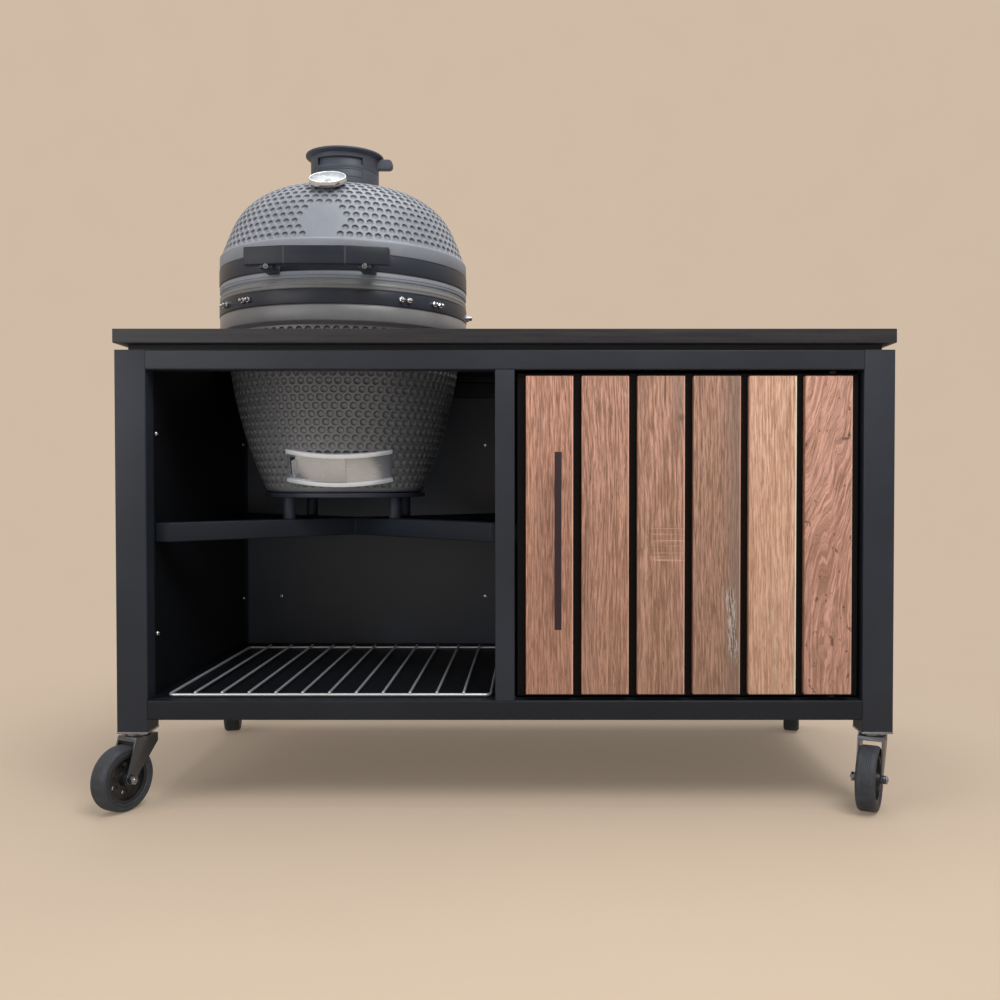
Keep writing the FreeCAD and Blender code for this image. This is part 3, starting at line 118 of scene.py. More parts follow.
class KitchenColours(bpy.types.PropertyGroup):
    """Colours of the finishes."""

    coat: tint("Powder coat", "Outer frame", (0.0215, 0.0268, 0.0375))
    # Painted shade: a darker copy of the coat for the brace inside the cabinet
    brace: tint("Brace", "Brace under the oven", (0.0125, 0.017, 0.0265))
    # Painted shade: near-black sheets where the inside of the cabinet lies in shade
    lining: tint("Lining", "Side sheets inside the cabinet", (0.004, 0.005, 0.0075))
    # Painted light: the inner face of the back sheet paler than the coat outside
    back: tint("Back", "Inner face of the back sheet", (0.075, 0.094, 0.128))
    band: tint("Band", "Steel bands of the oven", (0.026, 0.033, 0.05))
    ceramic: tint("Ceramic", "Glazed dome of the oven", (0.262, 0.276, 0.312))
    # Painted shade: the bowl's glaze darker than the dome's, for the cabinet it stands in
    bowl: tint("Bowl", "Glazed bowl of the oven", (0.215, 0.215, 0.219))
    vent: tint("Vent", "Vent and its cap", (0.058, 0.068, 0.092))
    slab: tint("Slab", "Worktop", (0.027, 0.028, 0.036))
    pull: tint("Pull bar", "Bar of the door", (0.03, 0.0155, 0.0215))
    handle: tint("Lid handle", "Handle of the lid", (0.0148, 0.0195, 0.029))
    steel: tint("Steel", "Bare steel", (0.56, 0.6, 0.655))
    wire: tint("Wire", "Shelf rack", (0.78, 0.81, 0.86))
    bezel: tint("Bezel", "Case of the thermometer", (0.68, 0.73, 0.8))
    zinc: tint("Zinc", "Caster forks", (0.12, 0.135, 0.16))
    rubber: tint("Rubber", "Caster tyres", (0.03, 0.034, 0.041))
    hub: tint("Hub", "Caster hubs", (0.014, 0.015, 0.017))
    clay: tint("Fire clay", "Fire box and ring", (0.47, 0.4, 0.31))
    iron: tint("Iron", "Grates", (0.026, 0.026, 0.028))
    stand: tint("Stand", "Base plate and feet of the oven", (0.04, 0.047, 0.066))
    felt: tint("Felt", "Gaskets", (0.26, 0.26, 0.265))
    dial: tint("Dial", "Face of the thermometer", (0.62, 0.66, 0.7))
    ink: tint("Ink", "Ticks of the thermometer", (0.02, 0.02, 0.022))
    needle: tint("Needle", "Thermometer needle", (0.02, 0.02, 0.024))
    glass: tint("Glass", "Glass of the thermometer", (0.94, 0.96, 0.96))
    floor: tint("Floor", "Studio floor", (0.63, 0.5, 0.38))


def joint_line(name):
    """Direction and place of the axis of a joint."""
    joint = next(joint for joint in frame["joints"] if joint["name"] == name)
    return Vector(joint["axis"]).normalized(), Vector(joint["pos_m"])


def middle_height(node):
    """Height of the middle of a CAD piece."""
    low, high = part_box(node)
    return (low.z + high.z) / 2


def half_width(node):
    """Half of the width of a CAD piece."""
    low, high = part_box(node)
    return (high.x - low.x) / 2


def oven_axis():
    """Place of the oven axis, from the bowl."""
    low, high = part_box("kamado_bowl")
    return Vector(((low.x + high.x) / 2, 0, 0))


class Value:
    """Output of a node that can stand in a sum."""

    def __init__(self, graph, socket):
        self.graph = graph
        self.socket = socket

    def calc(self, operation, *given):
        """Result of an operation on this value and others."""
        return self.graph.calc(operation, self, *given)

    def __add__(self, other):
        return self.calc("ADD", other)

    def __sub__(self, other):
        return self.calc("SUBTRACT", other)

    def __rsub__(self, other):
        return self.graph.calc("SUBTRACT", other, self)

    def __mul__(self, other):
        return self.calc("MULTIPLY", other)

    def __truediv__(self, other):
        return self.calc("DIVIDE", other)

    def __rtruediv__(self, other):
        return self.graph.calc("DIVIDE", other, self)

    def __pow__(self, other):
        return self.calc("POWER", other)

    __radd__ = __add__
    __rmul__ = __mul__

    def clamped(self):
        """Value held between 0 and 1."""
        return self.graph.node("ShaderNodeClamp", None, {0: self})

    def steps(self, low, high):
        """0 below low, 1 above high, smooth between."""
        ends = {0: self, 1: low, 2: high, 3: 0.0, 4: 1.0}
        return self.graph.node("ShaderNodeMapRange", {"interpolation_type": "SMOOTHSTEP"}, ends)

    def within(self, rise, fall):
        """1 between a rise and a fall, each given by its two ends."""
        return self.steps(*rise) * (1 - self.steps(*fall))

    def off(self, level):
        """Distance from a level, on either side."""
        return (self - level).calc("ABSOLUTE")

    def near(self, level, inner, outer):
        """1 within inner of a level, 0 beyond outer."""
        return 1 - self.off(level).steps(inner, outer)


class Graph:
    """Node tree to which nodes are added by type, settings and sockets."""

    def __init__(self, tree):
        self.tree = tree

    def node(self, kind, settings=None, sockets=None, out=0):
        """Add a node and give one of its outputs, if it has any."""
        made = self.tree.nodes.new(kind)
        for key, setting in (settings or {}).items():
            setattr(made, key, setting)
        for key, given in (sockets or {}).items():
            if isinstance(given, Value):
                self.tree.links.new(given.socket, made.inputs[key])
            else:
                made.inputs[key].default_value = given
        return Value(self, made.outputs[out]) if len(made.outputs) else None

    def calc(self, operation, *given):
        """Result of an operation on values and numbers."""
        return self.node("ShaderNodeMath", {"operation": operation}, dict(enumerate(given)))

    def also(self, value, out):
        """Another output of the node that a value comes from."""
        return Value(self, value.socket.node.outputs[out])

    def split(self, vector):
        """The three parts of a vector."""
        first = self.node("ShaderNodeSeparateXYZ", None, {0: vector})
        return [self.also(first, index) for index in range(3)]

    def joined(self, x, y, z):
        """Vector of three parts."""
        return self.node("ShaderNodeCombineXYZ", None, {0: x, 1: y, 2: z})


def shade(colour, factor):
    """Colour made lighter or darker."""
    return tuple(min(1.0, part * factor) for part in colour)


class Finish(Graph):
    """Material of one surface: tones of a colour laid over each other by the place on the piece."""

    def __init__(self, name, colour):
        self.material = bpy.data.materials.new(name)
        self.material.use_nodes = True
        super().__init__(self.material.node_tree)
        self.tree.nodes.clear()
        self.colour = tuple(colour)
        self.base = self.colour
        self.place = self.node("ShaderNodeTexCoord", None, None, "Object")

    def noise(self, scale, detail=3.0, rough=0.55, stretch=(1, 1, 1), shift=(0, 0, 0), warp=0.0, where=None):
        """Cloudy pattern, stretched and shifted if asked."""
        where = where or self.place
        if stretch != (1, 1, 1) or shift != (0, 0, 0):
            moved = {"Vector": where, "Location": shift, "Scale": stretch}
            where = self.node("ShaderNodeMapping", None, moved)
        look = {"Vector": where, "Scale": scale, "Detail": detail, "Roughness": rough, "Distortion": warp}
        return self.node("ShaderNodeTexNoise", None, look)

    def mix(self, factor, first, second):
        """Colour between two colours."""
        wide = [(*colour, 1) if isinstance(colour, tuple) else colour for colour in (first, second)]
        return self.node("ShaderNodeMix", {"data_type": "RGBA"}, {0: factor, 6: wide[0], 7: wide[1]}, 2)

    def tone(self, share):
        """Share of the finish's own colour, or another colour as it is."""
        return shade(self.colour, share) if isinstance(share, (int, float)) else share

    def tinted(self, *shares):
        """The finish's own colour with a share of each of its three parts."""
        return tuple(part * share for part, share in zip(self.colour, shares))

    def between(self, factor, first, second):
        """Start the surface as a blend of two tones."""
        self.base = self.mix(factor, self.tone(first), self.tone(second))

    def layer(self, factor, share):
        """Lay a tone over what is there."""
        self.base = self.mix(factor, self.base, self.tone(share))

    def done(self, rough, metal=0.0, height=None, depth=0.001, gloss=0.5, constants=None):
        """Finished surface, with an optional relief of a depth in metres."""
        base = (*self.base, 1) if isinstance(self.base, tuple) else self.base
        sockets = {"Base Color": base, "Roughness": rough, "Metallic": metal, "Specular IOR Level": gloss}
        if height is not None:
            relief = {"Strength": 1.0, "Distance": depth, "Height": height}
            sockets["Normal"] = self.node("ShaderNodeBump", None, relief)
        sockets.update(constants or {})
        surface = self.node("ShaderNodeBsdfPrincipled", None, sockets)
        self.node("ShaderNodeOutputMaterial", None, {"Surface": surface})
        return self.material


def powder_coat(name, colour, rough, gloss):
    """Satin powder coat with a fine orange peel and faint dust."""
    paint = Finish(name, colour)
    peel = paint.noise(420, 2.0)
    cloud = paint.noise(5, 4.0, 0.6)
    dust = paint.noise(60, 4.0, 0.65)
    paint.between(cloud.steps(0.3, 0.75), 0.86, 1.16)
    paint.layer(dust.steps(0.62, 0.85) * 0.16, 3.2)
    return paint.done((cloud - 0.5) * 0.14 + (dust - 0.5) * 0.1 + rough, 0.0, peel, 0.00012, gloss)


def back_coat(name, inside, outside, face):
    """Coat of the back sheet with painted light: paler on the inner face, which lies at a place along Y."""
    paint = Finish(name, inside)
    x, y, z = paint.split(paint.place)
    peel = paint.noise(420, 2.0)
    cloud = paint.noise(3, 3.0)
    paint.between(cloud, 0.92, 1.08)
    outer = paint.mix(cloud, shade(outside, 0.92), shade(outside, 1.08))
    paint.layer(y.steps(face + 0.0003, face + 0.0006), outer)
    return paint.done((cloud - 0.5) * 0.1 + 0.42, 0.0, peel, 0.0001)


def glazed_ceramic(name, colour, rough, shade_lines, ring, top_shadow, foot_highlight, worktop_shade=None):
    """Satin glaze with fine speckle and soft clouds, and a line of painted shade at each of some heights.

    The walls of a dimple carry painted shade all round by ring, a painted shadow at the top and a painted
    highlight at the foot. A height given for the worktop paints shade on the glaze just below it, fading
    downwards."""
    paint = Finish(name, colour)
    x, y, z = paint.split(paint.place)
    cloud = paint.noise(7, 4.0, 0.6)
    speck = paint.noise(330, 3.0, 0.7)
    grit = paint.noise(900, 2.0, 0.6)
    hollow = paint.node("ShaderNodeAttribute", {"attribute_name": "hollow"}, None, "Fac")
    rise = paint.node("ShaderNodeAttribute", {"attribute_name": "rise"}, None, "Fac")
    wall = hollow.within((0.0, 0.3), (0.6, 1.0))
    upper = rise.steps(-0.2, 0.75)
    paint.between(cloud.steps(0.25, 0.75), 0.88, 1.12)
    paint.layer(speck.steps(0.56, 0.78) * 0.4, 1.5)
    paint.layer((1 - speck).steps(0.58, 0.8) * 0.45, 0.5)
    # Painted highlight on the lower wall of each dimple, painted shade round its wall and a painted shadow at
    # its top
    paint.layer(wall * (1 - upper) * foot_highlight, 1.6)
    paint.layer(wall * (upper * top_shadow + ring), 0.1)
    # Painted shade on the glaze just below the worktop, fading downwards
    if worktop_shade:
        paint.layer(z.within((worktop_shade - 0.3, worktop_shade), (worktop_shade, worktop_shade + 0.03)) * 0.45, 0.3)
    # Painted shade along each edge of a steel band
    for level in shade_lines:
        paint.layer(z.near(level, 0.001, 0.0022), 0.22)
    return paint.done((speck - 0.5) * 0.22 + rough, 0.0, grit * 0.5 + speck, 0.0002)


def dark_slab(name, colour):
    """Near-black worktop with a streaked grain along the unit."""
    paint = Finish(name, colour)
    streak = paint.noise(1.0, 6.0, 0.65, (6, 150, 190), warp=0.4)
    fleck = paint.noise(1.0, 3.0, 0.6, (70, 700, 700))
    cloud = paint.noise(3, 3.0)
    paint.between(streak.steps(0.35, 0.7), 0.72, paint.tinted(1.3, 1.18, 1.05))
    paint.layer(fleck.steps(0.6, 0.8) * 0.35, 2.1)
    rough = (streak - 0.5) * 0.25 + cloud * 0.12 + 0.33
    return paint.done(rough, 0.0, streak + fleck * 0.5, 0.00025, 0.35)


def bare_steel(name, colour, rough, grain):
    """Bare metal with a brushed grain and a few darker smears."""
    paint = Finish(name, colour)
    lines = paint.noise(1.0, 4.0, 0.6, grain)
    smear = paint.noise(26, 4.0, 0.6)
    paint.between(smear.steps(0.3, 0.8), 0.93, 1.04)
    return paint.done((lines - 0.5) * 0.1 + (smear - 0.5) * 0.06 + rough, 1.0, lines, 0.00007)


def draft_steel(name, colour, lip):
    """Brushed steel of the draft, with a painted highlight on the folded top and bottom lips of its frame."""
    paint = Finish(name, colour)
    axis, place = joint_line("draft_slide")
    reach = max(abs((vert.co - place).dot(axis)) for vert in nodes["draft_frame"].data.vertices)
    x, y, z = paint.split(paint.place)
    along = (x - place.x) * axis.x + (y - place.y) * axis.y + (z - place.z) * axis.z
    fold = along.calc("ABSOLUTE").steps(reach - lip, reach - lip + 0.0004)
    lines = paint.noise(1.0, 4.0, 0.6, (12, 12, 700))
    smear = paint.noise(26, 4.0, 0.6)
    paint.between(smear.steps(0.3, 0.8), 0.93, 1.04)
    # Painted highlight: whiter and less metallic along the folded lips
    paint.layer(fold, (0.9, 0.93, 0.97))
    return paint.done((lines - 0.5) * 0.08 + (smear - 0.5) * 0.06 + 0.26, 0.72 - fold * 0.4)


def chrome(name, colour, rough, metal):
    """Bright plating with faint haze."""
    paint = Finish(name, colour)
    haze = paint.noise(70, 3.0)
    paint.between(haze, 0.94, 1.04)
    return paint.done(haze * 0.1 + rough, metal)


def rubber(name, colour):
    """Dusty tyre rubber with moulding marks."""
    paint = Finish(name, colour)
    dust = paint.noise(46, 5.0, 0.65)
    grain = paint.noise(700, 2.0)
    paint.layer(dust.steps(0.4, 0.8) * 0.7, 2.3)
    return paint.done(dust * 0.2 + 0.55, 0.0, grain, 0.0002)


def moulded(name, colour, rough, gloss=0.5):
    """Moulded plastic or painted casting."""
    paint = Finish(name, colour)
    grain = paint.noise(520, 3.0, 0.6)
    cloud = paint.noise(18, 3.0)
    paint.between(cloud, 0.85, 1.18)
    return paint.done((cloud - 0.5) * 0.16 + rough, 0.0, grain, 0.0002, gloss)


def casting(name, colour):
    """Rough iron casting with a little rust."""
    paint = Finish(name, colour)
    grit = paint.noise(260, 4.0, 0.7)
    rust = paint.noise(24, 4.0, 0.6)
    paint.layer(rust.steps(0.62, 0.85) * 0.5, (0.11, 0.05, 0.03))
    return paint.done(grit * 0.2 + 0.55, 0.35, grit, 0.0006)


def fire_clay(name, colour):
    """Sooty refractory clay."""
    paint = Finish(name, colour)
    grit = paint.noise(240, 4.0, 0.7)
    soot = paint.noise(11, 4.0, 0.6)
    paint.layer(soot.steps(0.35, 0.7) * 0.75, 0.22)
    return paint.done(0.86, 0.0, grit, 0.0007)


def felt(name, colour):
    """Pressed felt."""
    paint = Finish(name, colour)
    fuzz = paint.noise(900, 4.0, 0.75)
    paint.between(fuzz, 0.6, 1.5)
    return paint.done(0.95, 0.0, fuzz, 0.0006)


def grip_paint(name, colour, axis, bend, level):
    """Painted handle, with a painted highlight along its two bends, and a little lighter below the middle."""
    paint = Finish(name, colour)
    x, y, z = paint.split(paint.place)
    grain = paint.noise(520, 3.0, 0.6)
    cloud = paint.noise(18, 3.0)
    crease = x.off(axis).near(bend, 0.0006, 0.0022)
    paint.between(cloud, 0.85, 1.15)
    paint.layer((1 - z.steps(level - 0.001, level + 0.001)) * 0.4, 1.5)
    # Painted highlight along the two bends
    paint.layer(crease * (cloud * 0.7 + 0.05), (0.11, 0.12, 0.135))
    return paint.done((cloud - 0.5) * 0.16 + 0.36, 0.0, grain, 0.0002, 0.3)


def clear_glass(name, colour):
    """Thin dial glass."""
    paint = Finish(name, colour)
    haze = paint.noise(40, 2.0)
    return paint.done(haze * 0.04 + 0.03, gloss=0.6, constants={"Alpha": 0.22, "IOR": 1.45})


# Slats from left to right: mean colour, waviness of the grain, rings across the slat, contrast of the
# grain, and strength of the painted highlight on the right edge
SLAT_LOOKS = (
    ((0.505, 0.256, 0.18), 0.25, 15, 0.95, 0.75),
    ((0.475, 0.25, 0.178), 0.8, 11, 0.9, 0.55),
    ((0.457, 0.247, 0.174), 0.55, 10, 0.9, 0.7),
    ((0.4, 0.22, 0.155), 0.4, 12, 0.95, 0.5),
    ((0.76, 0.412, 0.289), 0.4, 16, 0.7, 1.0),
    ((0.575, 0.3, 0.222), 1.5, 9, 0.8, 0.35),
)


class Hardwood(Finish):
    """Oiled hardwood of one slat, with growth rings, pores and marks of its own."""

    def __init__(self, index, low, high):
        colour, wave, rings, self.contrast, self.rim = SLAT_LOOKS[index]
        super().__init__(f"hardwood_{index + 1}", colour)
        self.low, self.high = low, high
        self.shift = (17.3 * index + 3.1, 5.7 * index, 9.1 * index)
        self.grey = self.tinted(0.55, 0.68, 0.74)
        self.brown = self.tinted(0.5, 0.46, 0.37)
        middle, width = (low + high) / 2, high.x - low.x
        x, y, self.z = self.split(self.place)
        self.right = (x - low.x) / width
        self.upper = (self.z - low.z) / (high.z - low.z)
        drift = self.noise(1.0, 2.0, 0.5, (9, 9, 2.1), self.shift)
        self.sway = self.noise(1.0, 3.0, 0.55, (34, 34, 5.0), self.shift)
        leaning = index == SLAT_COUNT - 1
        slant = self.upper.steps(0.25, 1.05) * -0.115 if leaning else (self.z - middle.z) * 0.01
        bend = slant + (drift - 0.5) * (0.06 * wave) + (self.sway - 0.5) * (0.014 * wave)
        across = (x - middle.x + bend + (y - middle.y) * 0.8) * (rings * TURN / width)
        self.ring = across.calc("SINE") * 0.5 + 0.5
        self.grain = self.joined(x + bend, y, self.z)
        self.fine = self.figure(4.0, 0.62, (620, 620, 12)).steps(0.3, 0.7)
        self.broad = self.figure(3.0, 0.55, (26, 26, 2.2))
        self.pore = self.figure(2.0, 0.5, (900, 900, 46)).steps(0.6, 0.7)
        self.fleck = self.noise(1.0, 3.0, 0.65, (380, 380, 48), self.shift)

    def figure(self, detail, rough, stretch):
        """Pattern that bends with the grain."""
        return self.noise(1.0, detail, rough, stretch, self.shift, where=self.grain)

    def growth(self):
        """Rings, stripes, dashes and pores, with painted shade towards the foot; gives the height of the
        grain.
        """
        stripe = self.figure(3.0, 0.55, (230, 230, 2.4)).steps(0.34, 0.66)
        dash = self.figure(3.0, 0.6, (340, 340, 21))
        fibre = self.figure(3.0, 0.65, (1400, 1400, 34))
        light = stripe * 0.3 + self.fine * 0.26 + self.ring * 0.2 + (self.broad - 0.5) * 0.55 + 0.11
        self.between(light.clamped(), self.brown, 1 + 0.62 * self.contrast)
        self.layer((1 - dash).steps(0.48, 0.62) * (0.85 * self.contrast), self.brown)
        self.layer(dash.steps(0.52, 0.65) * (0.65 * self.contrast), 1.7)
        self.layer(self.broad.steps(0.52, 0.74) * 0.35, self.grey)
        # Painted shade: the lower part of the slat darker and yellower
        self.layer((1 - self.upper) * 0.3, self.tinted(0.72, 0.68, 0.52))
        self.layer(self.pore * 0.5, 0.34)
        self.layer(fibre.steps(0.6, 0.78) * 0.25, 1.6)
        return self.fine * 0.5 + stripe * 0.3 + fibre * 0.3 - self.pore * 0.7

    def rubbed(self, height):
        """Short crack by the right edge and rubbed flecks in the upper half."""
        line = self.right + (self.sway - 0.5) * 0.1
        crack = line.near(0.93, 0.004, 0.02) * self.upper.within((0.4, 0.46), (0.52, 0.6))
        rub = self.fleck.steps(0.54, 0.66) * self.broad.steps(0.46, 0.6) * self.upper.steps(0.5, 0.75)
        self.layer(crack * 0.6, 0.3)
        self.layer(rub * 0.55, 1.7)
        return height

    def sawn(self, height):
        """Saw marks across the middle; a worn, knotty corner and a dark streak at the top."""
        saw = self.noise(1.0, 2.0, 0.5, (7, 7, 420), self.shift).steps(0.5, 0.62)
        saw = saw * (self.upper.within((0.415, 0.425), (0.525, 0.535)) * self.right.steps(0.2, 0.4))
        lower_cut, upper_cut = [self.upper.near(level, 0.0012, 0.0032) for level in (0.422, 0.484)]
        line = self.right + (self.sway - 0.5) * 0.12
        streak = line.near(0.58, 0.006, 0.03) * self.upper.steps(0.86, 0.95)
        worn = self.right.steps(0.62, 0.9) * self.upper.steps(0.72, 0.9)
        centre = ((self.right - 0.93) * 1.6) ** 2.0 + ((self.upper - 0.87) * 9) ** 2.0
        knot = 1 - centre.calc("SQRT").steps(0.05, 0.16)
        self.layer(saw * 0.45, 1.55)
        self.layer((lower_cut + upper_cut).clamped() * self.right.steps(0.25, 0.5) * 0.45, 1.8)
        self.layer(worn * 0.5, self.grey)
        self.layer(streak * 0.8, 0.2)
        self.layer(knot * (self.fleck.steps(0.4, 0.6) * 0.5 + 0.4), 0.3)
        return height - saw * 0.8 - streak

    def split_open(self, height):
        """Grey right half, and a split with pale flakes near the foot."""
        line = (self.right - 0.78 - (0.37 - self.upper) * 0.35 + (self.sway - 0.5) * 0.3).calc("ABSOLUTE")
        span = self.upper.within((0.08, 0.16), (0.28, 0.37))
        flake = (1 - line.steps(0.05, 0.17)) * span * self.fleck.steps(0.46, 0.55)
        split = line.near(0.03, 0.005, 0.03) * span * self.fine.steps(0.2, 0.6)
        self.layer(self.right.steps(0.5, 0.95) * (self.broad + 0.15), self.grey)
        self.layer(split * 0.8, 0.2)
        self.layer(flake * 0.75, (0.72, 0.6, 0.52))
        return height - split * 2 + flake * 1.5

    def pitted(self, height):
        """Small dark pits."""
        pit = self.noise(1.0, 2.0, 0.5, (95, 95, 60), self.shift).steps(0.65, 0.71)
        self.layer(pit * 0.75, 0.2)
        return height - pit * 1.5

    def edged(self):
        """Painted highlight along the right edge, and darker ends."""
        # Painted highlight along the right edge of the slat
        edge = self.right.steps(0.962, 0.985) * (self.broad * 0.8 + 0.5) * self.rim
        self.layer(edge.clamped(), (1.0, self.colour[1] * 2.2, self.colour[2] * 2.3))
        foot = 1 - self.z.steps(self.low.z + 0.0005, self.low.z + 0.003)
        head = self.z.steps(self.high.z - 0.003, self.high.z - 0.0005)
        self.layer((foot + head).clamped() * 0.35, 0.55)


# Marks of the slats that have some, by their place from the left
SLAT_MARKS = {1: Hardwood.rubbed, 2: Hardwood.sawn, 3: Hardwood.split_open, 5: Hardwood.pitted}


def hardwood(index, low, high):
    """Finish of one slat, from its lowest and highest corners."""
    wood = Hardwood(index, low, high)
    height = wood.growth()
    if index in SLAT_MARKS:
        height = SLAT_MARKS[index](wood, height)
    wood.edged()
    return wood.done(wood.fine * 0.16 + wood.pore * 0.15 + 0.44, 0.0, height, 0.0005, 0.4)


# Light that the floor throws back on the unit, where its own colour starts to shine and how much it does
NEUTRAL_FLOOR = (0.6, 0.6, 0.6)
FLOOR_FADE = (0.95, 1.9)
FLOOR_GLOW = 0.24


def studio_floor(name, colour):
    """Pale floor that the backdrop continues."""
    paint = Finish(name, colour)
    x, y, z = paint.split(paint.place)
    cloud = paint.noise(2.5, 4.0, 0.6)
    fibre = paint.noise(90, 4.0, 0.7)
    camera = paint.node("ShaderNodeLightPath", None, None, "Is Camera Ray")
    glossy, through = [paint.also(camera, f"Is {kind} Ray") for kind in ("Glossy", "Transmission")]
    seen = (camera + glossy + through).clamped()
    paint.between(cloud * 0.6 + fibre * 0.4, 0.97, 1.03)
    paper = paint.mix(seen, NEUTRAL_FLOOR, paint.base)
    matt = {"Base Color": paper, "Roughness": 0.9, "Specular IOR Level": 0.1}
    near = paint.node("ShaderNodeBsdfPrincipled", None, matt)
    far = paint.node("ShaderNodeEmission", None, {"Color": paint.base})
    away = ((x * x + y * y).calc("SQRT").steps(*FLOOR_FADE) * (1 - FLOOR_GLOW) + FLOOR_GLOW) * seen
    surface = paint.node("ShaderNodeMixShader", None, {0: away, 1: near, 2: far})
    paint.node("ShaderNodeOutputMaterial", None, {"Surface": surface})
    return paint.material


FINISHES = {}
# Directions of the grain of bare metal: even all round, and brushed upright
EVEN = (300, 300, 300)
BRUSHED = (40, 40, 400)
# Width of the folded lips of the draft frame, which carry a painted highlight, and place of the bends of the
# lid handle, which carry one too
DRAFT_LIP = 0.0091
HANDLE_BEND = 0.06
# Gap from an edge of a steel band to the line of painted shade beside it
SHADE_LINE_GAP = 0.0014


def band_shade_lines(band):
    """Heights of the lines of painted shade along the two edges of a steel band."""
    low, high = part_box(band)
    return low.z - SHADE_LINE_GAP, high.z + SHADE_LINE_GAP


def prepare_finishes():
    """Make every finish once."""
    c = bpy.context.scene.kitchen_colours
    dome_shade_lines, bowl_shade_lines = band_shade_lines("upper_band"), band_shade_lines("lower_band")
    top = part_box("worktop")[0].z
    grip = (oven_axis().x, HANDLE_BEND, middle_height("lid_handle"))
    FINISHES.update(
        coat=powder_coat("powder_coat", c.coat, 0.42, 0.33),
        # Painted shade: the brace in a darker copy of the coat
        brace=powder_coat("brace_coat", c.brace, 0.45, 0.24),
        # Painted shade: the bottom rails in a darker copy of the coat
        sill=powder_coat("sill_coat", shade(c.coat, 0.5), 0.5, 0.25),
        # Painted shade: near-black inner sheets
        lining=powder_coat("lining_coat", c.lining, 0.5, 0.3),
        band=powder_coat("band_coat", c.band, 0.38, 0.33),
        # Painted shade: the door tray darker still, behind the slats
        tray=powder_coat("tray_coat", shade(c.lining, 0.35), 0.6, 0.2),
        # Painted light on the inner face of the back sheet
        back=back_coat("back_coat", c.back, c.coat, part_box("back_panel")[0].y),
        # Glazes with painted shade, shadow and highlight in their dimples and painted shade by the bands
        dome=glazed_ceramic("dome_glaze", c.ceramic, 0.45, dome_shade_lines, 0.12, 0.68, 0.25),
        # The bowl's glaze also carries painted shade just below the worktop
        bowl=glazed_ceramic("bowl_glaze", c.bowl, 0.33, bowl_shade_lines, 0.5, 0.4, 0.6, worktop_shade=top),
        vent=moulded("vent_casting", c.vent, 0.52),
        slab=dark_slab("worktop_slab", c.slab),
        handle=grip_paint("lid_handle_paint", c.handle, *grip),
        pull=moulded("pull_bar_paint", c.pull, 0.42, 0.35),
        plate=draft_steel("draft_plate", c.steel, DRAFT_LIP),
        steel=bare_steel("bright_steel", c.steel, 0.25, EVEN),
        chrome=chrome("chrome_wire", c.wire, 0.26, 0.6),
        bezel=chrome("thermometer_bezel", c.bezel, 0.12, 1.0),
        zinc=bare_steel("zinc_plate", c.zinc, 0.36, BRUSHED),
        race=bare_steel("zinc_race", shade(c.zinc, 2.4), 0.25, EVEN),
        rubber=rubber("tyre_rubber", c.rubber),
        hub=moulded("hub_plastic", c.hub, 0.45),
        clay=fire_clay("fire_clay", c.clay),
        iron=casting("iron_casting", c.iron),
        stand=moulded("stand_paint", c.stand, 0.4, 0.25),
        felt=felt("gasket_felt", c.felt),
        dial=moulded("dial_card", c.dial, 0.6),
        ink=moulded("dial_ink", c.ink, 0.6),
        needle=moulded("needle_paint", c.needle, 0.4),
        glass=clear_glass("dial_glass", c.glass),
        floor=studio_floor("studio_floor", c.floor),
    )


def dressed(finish, *names):
    """Give CAD pieces a finish as they are."""
    for name in names:
        nodes[name].data.materials.clear()
        nodes[name].data.materials.append(FINISHES[finish])


def new_object(name, data):
    """Object at the origin that holds a mesh or a curve."""
    piece = bpy.data.objects.new(name, data)
    bpy.context.scene.collection.objects.link(piece)
    return piece


def settled(piece):
    """Turn the modifiers of a piece into its own mesh."""
    bpy.context.view_layer.update()
    graph = bpy.context.evaluated_depsgraph_get()
    mesh = bpy.data.meshes.new_from_object(piece.evaluated_get(graph))
    piece.modifiers.clear()
    piece.data = mesh
    return piece


def smoothed(mesh, sharp):
    """Smooth shading that breaks at edges sharper than an angle in degrees."""
    mesh.shade_smooth()
    mesh.set_sharp_from_angle(angle=math.radians(sharp))


def fitted(piece, finish, body, stands_for=()):
    """Give a finished piece its material and let it ride on its body."""
    if finish:
        material = FINISHES[finish] if isinstance(finish, str) else finish
        piece.data.materials.clear()
        piece.data.materials.append(material)
    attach(piece, body)
    if stands_for:
        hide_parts(*stands_for)
    return piece


# Facets that lie nearly flat to each other, in degrees, are one face before edges are eased
FLAT_ANGLE = 0.6
# Upright corners of the cap are longer than this
CORNER_LENGTH = 0.004
CORNER_SEGMENTS = 5


def round_corners(work, radius):
    """Round the upright corners at the right end of a shape."""
    end = max(vert.co.x for vert in work.verts) - 1e-5
    corners = []
    for edge in work.edges:
        first, second = (vert.co for vert in edge.verts)
        if min(first.x, second.x) > end and abs(first.y - second.y) > CORNER_LENGTH:
            corners.append(edge)
    bmesh.ops.bevel(work, geom=corners, offset=radius, segments=CORNER_SEGMENTS, profile=0.5, affect="EDGES")


